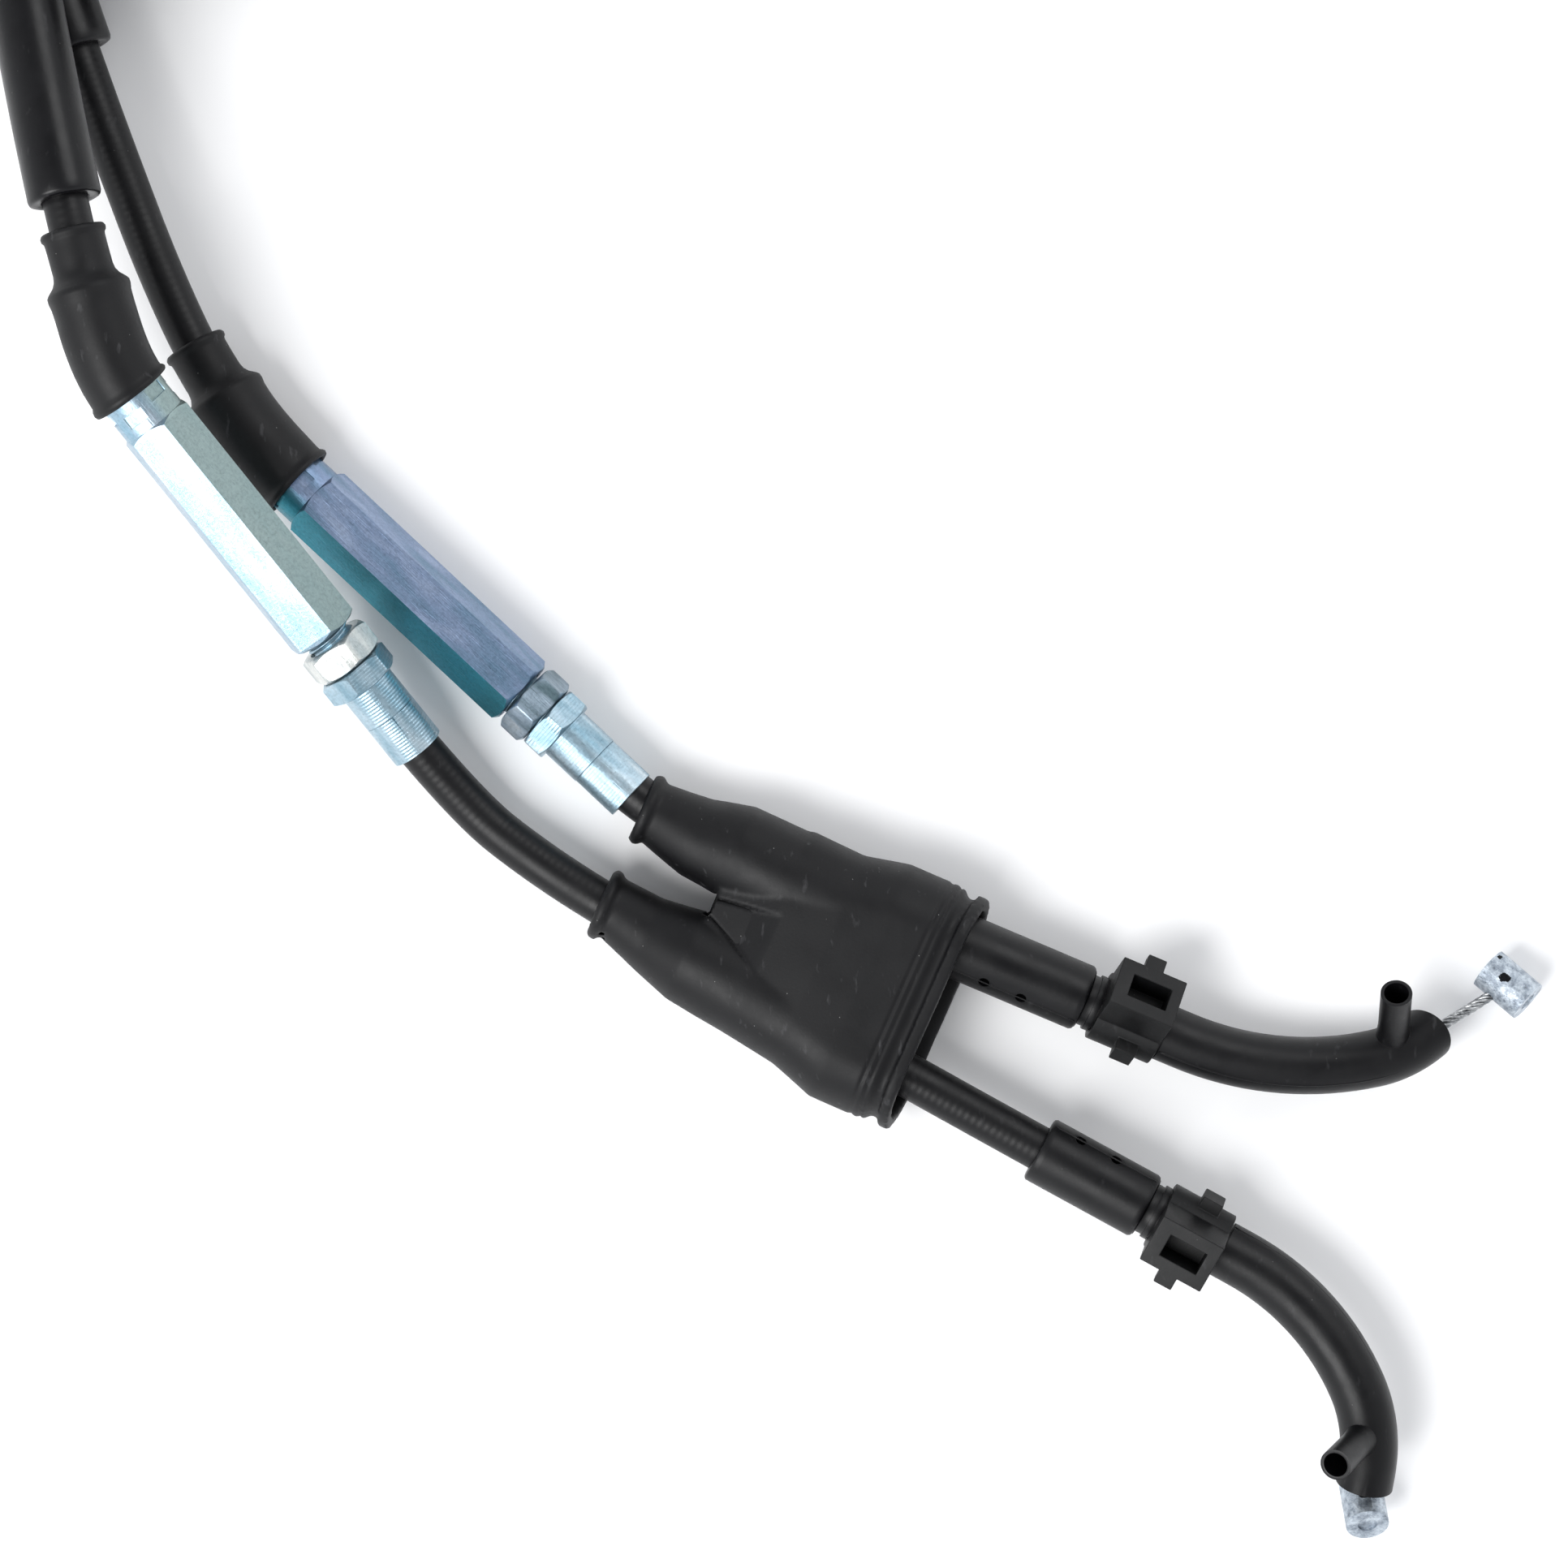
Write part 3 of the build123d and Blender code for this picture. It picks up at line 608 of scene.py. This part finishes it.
def math_node(tree, operation, first, second):
    """Value of a math node of two inputs."""
    return add(tree, "ShaderNodeMath", {"operation": operation}, _0=first, _1=second).outputs[0]


def waves(tree, along, pitch):
    """Sine of a distance, one wave to each pitch."""
    phase = scaled(tree, along, 2 * math.pi / pitch)
    return add(tree, "ShaderNodeMath", {"operation": "SINE"}, _0=phase).outputs[0]


def bumped(tree, height, strength, depth, normal=None):
    """Normal over a height; the depth is in millimetres."""
    under = {} if normal is None else {"Normal": normal}
    made = add(tree, "ShaderNodeBump", Height=height, Strength=strength, Distance=depth * MM, **under)
    return made.outputs[0]


def wire_up(tree, shader, **sockets):
    """Links what drives the shader to its inputs."""
    for key, socket in sockets.items():
        tree.links.new(socket, shader.inputs[key.replace("_", " ")])


def local_millimetres(tree, place):
    """Object coordinates turned into a part's own frame, in millimetres."""
    where = add(tree, "ShaderNodeTexCoord")
    turn = place.to_3x3().to_euler()
    mapping = add(tree, "ShaderNodeMapping", {"vector_type": "TEXTURE"}, Vector=where.outputs["Object"])
    mapping.inputs["Location"].default_value = place.to_translation() * MM
    mapping.inputs["Rotation"].default_value = turn
    mapping.inputs["Scale"].default_value = (MM, MM, MM)
    return mapping.outputs["Vector"]


def bench_millimetres(tree):
    """Object coordinates in millimetres."""
    where = add(tree, "ShaderNodeTexCoord")
    scale = add(tree, "ShaderNodeMapping", Vector=where.outputs["Object"])
    scale.inputs["Scale"].default_value = (1 / MM, 1 / MM, 1 / MM)
    return scale.outputs["Vector"]


def stretched(tree, vector, scale):
    made = add(tree, "ShaderNodeMapping", Vector=vector)
    made.inputs["Scale"].default_value = scale
    return made.outputs["Vector"]


def blue_zinc(name, place, pale, deep, patch, side=None, painted_side_shade=None, groove_pitch=0.0):
    """Steel bar, cold drawn, then zinc plated and blue passivated: pale patches, draw lines, small pits.

    Faces turned towards one side can take a painted shade colour, standing in for the shade and reflection
    that fall there.
    """
    material, tree, shader = start_material(name)
    local = local_millimetres(tree, place)
    drift = noised(tree, stretched(tree, local, (0.5, 0.5, 0.12)), 0.9, 4.0)
    base = ramp(tree, drift, [(0.34, deep), (0.56, pale), (0.8, patch)])
    # Painted shade and painted reflection: faces turned towards the side are mixed into a darker colour
    if side:
        surface = add(tree, "ShaderNodeNewGeometry")
        settings = {"operation": "DOT_PRODUCT"}
        dot = add(tree, "ShaderNodeVectorMath", settings, _0=surface.outputs["Normal"], _1=side)
        share = ramp(tree, dot.outputs["Value"], [(0.12, 0.0), (0.5, 0.9)])
        base = blended(tree, share, base, painted_side_shade)
    mottle = noised(tree, local, 2.6, 8.0, 0.7)
    spots = ramp(tree, mottle, [(0.4, 1.0), (0.5, 0.92), (0.66, 0.74)])
    pits = specks(tree, local, 1.7, 0.09, 0.8)
    base = blended(tree, 1.0, base, spots, "MULTIPLY")
    base = blended(tree, scaled(tree, pits, 0.6), base, "#4d5a60")
    draw = noised(tree, stretched(tree, local, (7.0, 7.0, 0.35)), 1.0, 3.0)
    rough = ramp(tree, draw, [(0.3, 0.27), (0.7, 0.42)])
    height = draw
    if groove_pitch:
        axis = add(tree, "ShaderNodeSeparateXYZ", Vector=local)
        height = scaled(tree, waves(tree, axis.outputs["Z"], groove_pitch), 0.5, draw)
    grain = bumped(tree, mottle, 0.6, 0.06, bumped(tree, height, 0.55, 0.05))
    shader.inputs["Metallic"].default_value = 0.92
    wire_up(tree, shader, Base_Color=base, Roughness=rough, Normal=grain)
    return material


def specks(tree, vector, density, size, rarity):
    """Mask of scattered dots: one near the middle of a cell, in the few cells above a rarity."""
    cells = add(tree, "ShaderNodeTexVoronoi", Vector=vector, Scale=density)
    pick = add(tree, "ShaderNodeSeparateColor", Color=cells.outputs["Color"])
    few = math_node(tree, "GREATER_THAN", pick.outputs[0], rarity)
    near = math_node(tree, "LESS_THAN", cells.outputs["Distance"], size)
    return math_node(tree, "MULTIPLY", few, near)


def blot(tree, where, centre, across, raggedness=0.5):
    """Mask of one ragged patch round a point of the bench, in millimetres."""
    place = add(tree, "ShaderNodeMapping", {"vector_type": "TEXTURE"}, Vector=where)
    place.inputs["Location"].default_value = centre
    place.inputs["Scale"].default_value = across
    size = add(tree, "ShaderNodeVectorMath", {"operation": "LENGTH"}, _0=place.outputs[0])
    edge = noised(tree, where, 1.6, 4.0, 0.7)
    ragged = scaled(tree, edge, 2 * raggedness, size.outputs["Value"])
    return ramp(tree, ragged, [(0.48 + raggedness, 1.0), (0.56 + raggedness, 0.0)])


def black_polymer(name, low, high, rough_low, rough_high, grain, dust, ribs=0.0, pads=()):
    """Black rubber, vinyl or nylon: a satin skin with mould grain, cloudy wear, dust and frosted pads.

    Ribs are the pitch of a wound conduit that shows faintly through a jacket.
    """
    material, tree, shader = start_material(name)
    where = bench_millimetres(tree)
    cloud = noised(tree, where, 0.22, 5.0, 0.6)
    base = ramp(tree, cloud, [(0.35, low), (0.7, high)])
    small = scaled(tree, specks(tree, where, 1.3, 0.07, 0.93), dust)
    base = blended(tree, small, base, "#8f8f8d")
    scuffs = noised(tree, stretched(tree, where, (0.9, 0.3, 0.9)), 1.1, 7.0)
    worn = scaled(tree, ramp(tree, scuffs, [(0.64, 0.0), (0.76, 1.0)]), 0.25 * dust)
    base = blended(tree, worn, base, "#77777a")
    for centre, across in pads:
        base = blended(tree, scaled(tree, blot(tree, where, centre, across, 0.2), 0.8), base, "#8a8b8c")
    fine = noised(tree, where, grain, 4.0, 0.6)
    rough = ramp(tree, cloud, [(0.3, rough_low), (0.75, rough_high)])
    normal = bumped(tree, fine, 0.3, 0.04)
    if ribs:
        along = add(tree, "ShaderNodeUVMap")
        split = add(tree, "ShaderNodeSeparateXYZ", Vector=along.outputs[0])
        normal = bumped(tree, waves(tree, split.outputs["Y"], ribs), 0.3, 0.02, normal)
    shader.inputs["Specular IOR Level"].default_value = 0.28
    wire_up(tree, shader, Base_Color=base, Roughness=rough, Normal=normal)
    return material


def cast_zinc(name, stains=()):
    """Die cast zinc alloy, tumbled and dull: grey blotches, small pits, a rough skin and black stains."""
    material, tree, shader = start_material(name)
    where = bench_millimetres(tree)
    blotch = noised(tree, where, 0.9, 8.0, 0.72)
    base = ramp(tree, blotch, [(0.3, "#5d646c"), (0.46, "#98a2ad"), (0.6, "#c3ccd4")])
    for centre, across in stains:
        base = blended(tree, blot(tree, where, centre, across), base, "#101216")
    pits = noised(tree, where, 4.5, 6.0)
    rough = ramp(tree, pits, [(0.3, 0.3), (0.7, 0.55)])
    normal = bumped(tree, pits, 0.8, 0.1, bumped(tree, blotch, 0.7, 0.2))
    shader.inputs["Metallic"].default_value = 0.85
    wire_up(tree, shader, Base_Color=base, Roughness=rough, Normal=normal)
    return material


def drawn_wire():
    """Bright drawn steel wire, a little oily in the lay of the strands."""
    material, tree, shader = start_material("drawn_steel_wire")
    oil = noised(tree, bench_millimetres(tree), 1.5, 3.0)
    tone = ramp(tree, oil, [(0.35, "#6e7072"), (0.65, "#c0c2c3")])
    rough = ramp(tree, oil, [(0.3, 0.25), (0.7, 0.4)])
    shader.inputs["Metallic"].default_value = 1.0
    wire_up(tree, shader, Base_Color=tone, Roughness=rough)
    return material


def ptfe():
    """White PTFE tube: waxy, faintly translucent looking."""
    material, tree, shader = start_material("ptfe_liner")
    cloud = noised(tree, bench_millimetres(tree), 0.4, 3.0)
    shader.inputs["Roughness"].default_value = 0.45
    wire_up(tree, shader, Base_Color=ramp(tree, cloud, [(0.3, "#dddcd6"), (0.7, "#f0efea")]))
    return material


def bench_paint():
    """Matt white paint with broad, hardly visible clouds."""
    material, tree, shader = start_material("white_bench")
    cloud = noised(tree, bench_millimetres(tree), 0.004, 2.0)
    shader.inputs["Roughness"].default_value = 0.9
    shader.inputs["Specular IOR Level"].default_value = 0.1
    wire_up(tree, shader, Base_Color=ramp(tree, cloud, [(0.3, "#f6f6f6"), (0.7, "#fbfbfb")]))
    return material


# ---------------------------------------------------------------- camera, light and bench

def set_the_stage():
    """Camera straight above the cables, two soft lamps in a light tent, and a pale bench."""
    camera_data = bpy.data.cameras.new("camera")
    camera_height = 600.0
    view_width = 185.8
    view_level = 4.0
    camera_data.sensor_width = 36.0
    camera_data.lens = camera_data.sensor_width * (camera_height - view_level) / view_width
    camera_data.clip_start = 0.01
    camera = bpy.data.objects.new("camera", camera_data)
    camera.location = (-1.15 * MM, 11.44 * MM, camera_height * MM)
    bpy.context.scene.collection.objects.link(camera)
    bpy.context.scene.camera = camera

    lights = [
        ("main_left", (-0.62, -0.48, 1.0), 0.7, 15.0),
        ("back_right", (0.6, 0.7, 0.9), 0.6, 4.0),
    ]
    for name, place, size, power in lights:
        data = bpy.data.lights.new(name, "AREA")
        data.shape = "SQUARE"
        data.size = size
        data.energy = power
        lamp = bpy.data.objects.new(name, data)
        lamp.location = place
        lamp.rotation_euler = (Vector((0, 0, 0)) - Vector(place)).to_track_quat("-Z", "Y").to_euler()
        bpy.context.scene.collection.objects.link(lamp)

    # Light tent: white walls, and a darker opening overhead where the camera looks in
    world = bpy.data.worlds.new("light_tent")
    world.use_nodes = True
    tree = world.node_tree
    tree.nodes.clear()
    ray = add(tree, "ShaderNodeNewGeometry")
    split = add(tree, "ShaderNodeSeparateXYZ", Vector=ray.outputs["Incoming"])
    steep = add(tree, "ShaderNodeMath", {"operation": "ABSOLUTE"}, _0=split.outputs["Z"])
    wall = ramp(tree, steep.outputs[0], [(0.15, 1.0), (0.8, 0.55), (0.97, 0.3)])
    tint = blended(tree, 1.0, wall, "#f4f6fa", "MULTIPLY")
    tent = add(tree, "ShaderNodeBackground", Color=tint, Strength=1.25)
    add(tree, "ShaderNodeOutputWorld", Surface=tent.outputs[0])
    bpy.context.scene.world = world
    bpy.context.scene.view_settings.view_transform = "Standard"

    half = 1.5
    mesh = bpy.data.meshes.new("bench")
    corners = [(-half, -half, 0), (half, -half, 0), (half, half, 0), (-half, half, 0)]
    mesh.from_pydata(corners, [], [(0, 1, 2, 3)])
    mesh.materials.append(bench_paint())
    bench = bpy.data.objects.new("bench", mesh)
    bpy.context.scene.collection.objects.link(bench)


# ---------------------------------------------------------------- cords

def eased(s, start, stop):
    """Smooth step from 0 to 1 between two places."""
    share = min(1.0, max(0.0, (s - start) / (stop - start)))
    return share * share * (3 - 2 * share)


def coil_points(cable):
    """Control points of the spare turns: out, in, up a layer, in, and out again, clockwise from the left."""
    inside = (6 + 2 * math.cos(2 * math.pi / POINTS_PER_TURN)) / 8
    points = []
    count = round(cable["coil_turns"] * POINTS_PER_TURN)
    for k in range(count):
        s = cable["coil_turns"] * k / count
        inward = eased(s, *GOING_IN) - eased(s, *GOING_OUT)
        radius = (OUTER_TURN + (INNER_TURN - OUTER_TURN) * inward) / inside
        height = FIRST_LAYER + cable["coil_lift"] + LAYER * eased(s, *GOING_UP)
        angle = math.pi - 2 * math.pi * s
        x = COIL_CENTRE[0] + radius * math.cos(angle)
        y = COIL_CENTRE[1] + radius * math.sin(angle)
        points.append((x, y, height))
    return points


def long_casing(name, cable, jacket, vinyl):
    """The long casing with its spare turns and tail as one cord, and the sleeve over it."""
    place = adjuster_frame(cable)
    end = end_frame(cable)
    points = [place @ Vector((0, 0, CAP_SEAT)), place @ Vector((0, 0, -CAP_LEAD))]
    points += [Vector(p) for p in cable["casing"]]
    points += coil_points(cable)
    points += [Vector(p) for p in cable["tail"]]
    points += [end @ Vector((0, 0, -END_LEAD)), end @ Vector((0, 0, END_HEAD - END_SEAT_GAP))]
    path = spline_path(points)
    total = lengths(path)[-1] / MM
    casing = skin(f"{name}_casing_jacket", path, even_stations(0, total, CASING_R, 1.2), jacket, ring=24)
    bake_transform(casing)
    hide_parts(f"{name}_casing", f"{name}_casing_coil", f"{name}_casing_tail")

    begin = nearest_length(path, cable["sleeve_from"]) / MM
    stop = nearest_length(path, cable["sleeve_to"]) / MM
    outer = [(begin, SLEEVE_R - 0.45), (begin + 0.15, SLEEVE_R - 0.12), (begin + 0.5, SLEEVE_R)]
    outer += even_stations(begin + 1.5, stop - 1.0, SLEEVE_R)
    outer += [(stop - 0.2, SLEEVE_R - 0.1), (stop, SLEEVE_R - 0.4)]
    wall = outer + even_stations(begin, stop, SLEEVE_BORE_R, 2.0)[::-1]
    sleeve = skin(f"{name}_sleeve_tube", path, wall, vinyl, ring=36, closed=True)
    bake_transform(sleeve)
    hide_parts(f"{name}_sleeve")
    return casing, sleeve, path, total


def short_casing(name, cable, jacket, steel, liner_stuff):
    """Jacket, wound conduit and liner between the adjuster's ferrule and the elbow."""
    place = adjuster_frame(cable)
    elbow = elbow_frame(cable)
    ferrule_end = nut_end(cable) + COLLAR_THICK + cable["ferrule_length"]
    start = cable["collar_start"]
    points = [
        place @ Vector((0, 0, ferrule_end - CASING_SEAT + SEAT_GAP)),
        place @ Vector((0, 0, ferrule_end + cable["ferrule_lead"])),
    ]
    points += [Vector(p) for p in cable["short_run"]]
    points += [elbow @ Vector((start - ELBOW_LEAD, 0, 0)), elbow @ Vector((CASING_SEAT - SEAT_GAP, 0, 0))]
    path = spline_path(points, 16)
    total = lengths(path)[-1] / MM
    outer = skin(f"{name}_short_jacket", path, even_stations(0, total, CASING_R, 0.8), jacket)
    wound = even_stations(0.3, total - 0.3, CONDUIT_R)
    conduit = skin(f"{name}_short_conduit_tube", path, wound, steel, ring=16)
    slick = even_stations(0.1, total - 0.1, LINER_R)
    liner = skin(f"{name}_short_liner_tube", path, slick, liner_stuff, ring=12)
    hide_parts(f"{name}_short_casing")
    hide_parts(f"{name}_short_conduit")
    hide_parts(f"{name}_short_liner")
    for piece, slot in ((outer, "casing_pvc"), (conduit, "conduit_steel"), (liner, "liner_ptfe")):
        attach(piece, "root")


# ---------------------------------------------------------------- rubber

def dust_boot(name, cable, rubber):
    """Moulded boot over the adjuster's neck: rolled mouth, plain body, a rounded step and a rolled rim."""
    place = adjuster_frame(cable)
    mouth = place @ Vector((0, 0, cable["boot_mouth"]))
    knee = place @ Vector((0, 0, BOOT_KNEE))
    step, rim = [Vector(p) for p in cable["boot_bend"]]
    path = spline_path([mouth, knee, step, rim], 16)
    total = lengths(path)[-1] / MM
    at_step = nearest_length(path, step) / MM
    big, small = 4.75, 3.55
    outer = [
        (0.0, big - 0.1),
        (0.05, big + 0.18),
        (0.35, big + 0.32),
        (0.7, big + 0.22),
        (1.0, big - 0.02),
        (1.5, big - 0.04),
    ]
    outer += even_stations(2.5, at_step - 2.5, big - 0.02)
    outer += [
        (at_step - 1.2, big + 0.02),
        (at_step - 0.4, big + 0.16),
        (at_step + 0.1, big + 0.14),
        (at_step + 0.45, big - 0.1),
        (at_step + 1.1, small + 0.45),
        (at_step + 1.7, small + 0.12),
        (at_step + 2.4, small),
    ]
    outer += even_stations(at_step + 3.2, total - 1.3, small)
    outer += [
        (total - 0.95, small + 0.05),
        (total - 0.7, small + 0.26),
        (total - 0.35, small + 0.3),
        (total - 0.05, small + 0.12),
        (total, small - 0.1),
    ]
    inner = [(total, CASING_R + 0.35), (total - 0.4, CASING_R + 0.22), (at_step + 2.0, CASING_R + 0.3)]
    inner += [(at_step + 0.2, 3.9), (4.0, 4.22), (0.4, 4.25), (0.0, 4.35)]
    piece = skin(f"{name}_dust_boot_rubber", path, outer + inner, rubber, ring=40, closed=True)
    press(piece, lambda at: 0.06 * noise.noise(at / 3.5))
    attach(piece, f"{name}_boot")
    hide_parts(f"{name}_dust_boot")


def twin_boot(rubber):
    """The shared boot: two legs that run together into one flat body, with grooves behind its lip."""
    piece = softened("twin_boot_rubber", "twin_boot", voxel=0.3, smoothing=5, material=rubber)
    along_boot = heading(BOOT_U_AZIMUTH)
    across_boot = heading(BOOT_V_AZIMUTH)

    def relief(at):
        local = at - BOOT_MOUTH
        u, v = local.dot(along_boot), local.dot(across_boot)
        out = 0.1 * noise.noise(at / 6)
        for groove_at, depth in BOOT_GROOVES:
            out -= depth * math.exp(-(((u - groove_at) / GROOVE_WIDTH) ** 2))
        share = (u - WEB_CROTCH) / WEB_LENGTH
        if local.z > 0 and 0 < share < 1:
            low = 0.2 - 4.7 * share**1.3
            high = 1.6 + 1.6 * share
            above_low = eased(v, low - WEB_EDGE, low + WEB_EDGE)
            below_high = 1 - eased(v, high - WEB_EDGE, high + WEB_EDGE)
            out -= WEB_DEPTH * above_low * below_high * (1 - share) ** 0.7
        return out

    press(piece, relief)
    for vertex in piece.data.vertices:
        local = vertex.co / MM - BOOT_MOUTH
        near_mouth = eased(local.dot(along_boot), -7.0, -2.0)
        vertex.co -= along_boot * (MOUTH_SLANT * local.z * near_mouth * MM)
    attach(piece, "shared_boot")
    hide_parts("twin_boot")


# ---------------------------------------------------------------- metal and nylon

def cable_metal(name, cable, zinc, turned, nut_zinc):
    """Zinc plated parts: both studs with real threads, and the barrel, cap and nuts as modelled."""
    place = adjuster_frame(cable)
    top = nut_end(cable)
    end = end_frame(cable)
    root = top - NUT_AND_GAP - THREAD_LENGTH
    thread = thread_piece(f"{name}_stud_thread", place, root, top + THREAD_OVERLAP, turned)
    body = cut_copy(f"{name}_stud_body", f"{name}_adjuster_stud", place, top + BODY_CUT, turned)
    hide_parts(f"{name}_adjuster_stud")
    end_top = END_HEAD + END_COLLAR
    end_start = end_top - THREAD_OVERLAP
    end_thread = thread_piece(f"{name}_end_thread", end, end_start, end_top + END_THREAD, turned)
    flip = end @ Matrix.Rotation(math.pi, 4, "Y")
    end_body = cut_copy(f"{name}_end_body", f"{name}_end_stud", flip, BODY_CUT - end_top, turned)
    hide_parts(f"{name}_end_stud")
    for piece in (thread, body, end_thread, end_body):
        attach(piece, "root")
    for piece in (body, end_body):
        crisp(piece, 0.1)
    finishes = {
        "adjuster_barrel": zinc,
        "lock_nut": nut_zinc,
        "casing_cap": turned,
        "end_nut_inner": nut_zinc,
        "end_nut_outer": nut_zinc,
    }
    for part, material in finishes.items():
        dress(f"{name}_{part}", material, 0.14)
    return end_thread, end_body


def bare_wires(name, cable, steel):
    """Stranded wire at both ends: from the elbow to its nipple, and out of the throttle body stud."""
    tip, ahead = tip_of(cable)
    start = tip - ahead * max(cable["wire_inset"], 1.0)
    centre = Vector(cable["nipple_at"])
    piece = strands(f"{name}_grip_strands", start, centre, steel)
    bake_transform(piece)
    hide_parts(f"{name}_grip_wire")
    end = end_frame(cable)
    far = END_HEAD + END_COLLAR + END_THREAD + END_WIRE
    near = END_HEAD + 1
    rear = strands(f"{name}_end_strands", end @ Vector((0, 0, near)), end @ Vector((0, 0, far)), steel)
    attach(rear, f"{name}_engine_end")
    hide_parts(f"{name}_end_wire")
    return rear


def drain_drill(centre, direction, material):
    """Plain rod that cuts one drain hole."""
    bm = bmesh.new()
    bmesh.ops.create_cone(
        bm,
        cap_ends=True,
        segments=28,
        radius1=DRAIN_R * MM,
        radius2=DRAIN_R * MM,
        depth=DRAIN_DEPTH * MM,
        matrix=axis_frame(centre * MM, direction),
    )
    return new_piece("drill", bm, material)


def elbow_collar(name, cable, nylon):
    """The elbow's collar with its two drain holes and mould seam, and the rest of the elbow as modelled."""
    place = axis_frame(cable["elbow_at"], cable["elbow_heading"])
    arm = cut_copy(f"{name}_elbow_arm", f"{name}_elbow", place, COLLAR_LENGTH - ARM_OVERLAP, nylon)
    crisp(arm, 0.15)
    start = cable["collar_start"]
    length = COLLAR_LENGTH - start
    seat = CASING_SEAT - start
    bore = CASING_R + SEAT_PLAY
    path = [place @ Vector((0, 0, start + length * k / 8)) * MM for k in range(9)]
    wall = [(0.0, COLLAR_R - 0.4), (0.1, COLLAR_R - 0.15), (0.35, COLLAR_R)]
    wall += even_stations(1.0, length - 1.0, COLLAR_R, 2.0)
    wall += [(length - 0.5, COLLAR_R), (length - 0.2, COLLAR_R - 0.15), (length, COLLAR_R - 0.55)]
    wall += [(length, WIRE_BORE_R), (seat, WIRE_BORE_R), (seat, bore), (0.0, bore)]
    collar = skin(f"{name}_elbow_collar", path, wall, nylon, ring=64, closed=True)
    side = math.radians(cable["drain_side"])
    out = place.to_3x3() @ Vector((math.cos(side), -math.sin(side), 0))
    centres = [place @ Vector((0, 0, at)) + out * DRAIN_CENTRE_R for at in cable["drains"]]
    drills = [drain_drill(centre, out, nylon) for centre in centres]
    for drill in drills:
        cut = collar.modifiers.new("drain", "BOOLEAN")
        cut.operation = "DIFFERENCE"
        cut.solver = "EXACT"
        cut.object = drill
    baked(collar)
    for drill in drills:
        bpy.data.objects.remove(drill)
    crisp(collar, 0.08)
    rise = out * (COLLAR_R - 0.02)
    along = (start + 0.4, start + 4, start + 8, COLLAR_LENGTH - 0.5)
    edge = [place @ Vector((0, 0, z)) * MM + rise * MM for z in along]
    seam = skin(f"{name}_collar_seam", edge, even_stations(0, length - 0.9, 0.09, 0.9), nylon, ring=8)
    for piece in (arm, collar, seam):
        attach(piece, "root")
    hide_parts(f"{name}_elbow")


def parting_line(name, cable, nylon):
    """Raised seam that the mould leaves along the elbow's bend."""
    roll = math.radians(cable["parting_roll"])
    points = []
    for point, ahead in elbow_line(cable, 4.0):
        side = UP.cross(ahead).normalized()
        up = ahead.cross(side)
        points.append(point + (side * math.sin(roll) + up * math.cos(roll)) * PARTING_LINE_R)
    path = spline_path(points, 12)
    total = lengths(path)[-1] / MM
    piece = skin(f"{name}_parting_line", path, even_stations(0, total - 1.0, 0.13, 0.8), nylon, ring=8)
    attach(piece, "root")


# ---------------------------------------------------------------- the whole object

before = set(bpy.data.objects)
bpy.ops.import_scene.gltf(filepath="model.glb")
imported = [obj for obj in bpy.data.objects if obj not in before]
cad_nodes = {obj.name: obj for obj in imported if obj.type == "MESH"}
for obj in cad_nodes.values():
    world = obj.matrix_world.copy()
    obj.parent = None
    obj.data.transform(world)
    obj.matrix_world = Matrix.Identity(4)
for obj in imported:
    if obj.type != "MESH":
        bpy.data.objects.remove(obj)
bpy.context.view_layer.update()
set_the_stage()

rubber = black_polymer("moulded_black_rubber", "#050507", "#0c0c0e", 0.46, 0.6, 3.0, 0.6)
nylon = black_polymer("glass_filled_nylon", "#030305", "#08080a", 0.34, 0.5, 2.2, 0.35)
clip_stuff = black_polymer("clip_nylon", "#060607", "#0f1011", 0.4, 0.6, 3.0, 0.3, pads=FROSTED_PADS)
jacket = black_polymer("pvc_jacket", "#040406", "#09090b", 0.36, 0.5, 2.0, 0.3, ribs=0.9)
vinyl = black_polymer("vinyl_sleeve", "#050507", "#0a0a0d", 0.26, 0.4, 1.2, 0.3)
wire = drawn_wire()
liner_stuff = ptfe()
casting = cast_zinc("die_cast_zinc", NIPPLE_STAINS)

for cable_name, cable in CABLES.items():
    place = adjuster_frame(cable)
    bar = blue_zinc(f"{cable_name}_blue_zinc_bar", place, *BAR_TINTS_AND_PAINTED_SHADE[cable_name])
    turned = blue_zinc(f"{cable_name}_turned_zinc", place, *TURNED_TINT, groove_pitch=TOOL_MARK_PITCH)
    nut = blue_zinc(f"{cable_name}_nut_zinc", place, *NUT_TINTS[cable_name])
    end_thread, end_body = cable_metal(cable_name, cable, bar, turned, nut)
    casing, sleeve, path, total = long_casing(cable_name, cable, jacket, vinyl)
    short_casing(cable_name, cable, jacket, wire, liner_stuff)
    dust_boot(cable_name, cable, rubber)
    rear = bare_wires(cable_name, cable, wire)
    elbow_collar(cable_name, cable, nylon)
    parting_line(cable_name, cable, nylon)
    dress(f"{cable_name}_elbow_clip", clip_stuff, 0.15)
    dress(f"{cable_name}_grip_nipple", casting, 0.25)
    dress(f"{cable_name}_end_nipple", casting, 0.25)
    dress(f"{cable_name}_end_seal", rubber, 0.15)
    end_parts = ("end_nut_inner", "end_nut_outer", "end_seal", "end_nipple")
    on_cord = [sleeve, end_thread, end_body, rear]
    on_cord += [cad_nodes[f"{cable_name}_{part}"] for part in end_parts]

twin_boot(rubber)
dress("coil_ties", clip_stuff, 0.3)
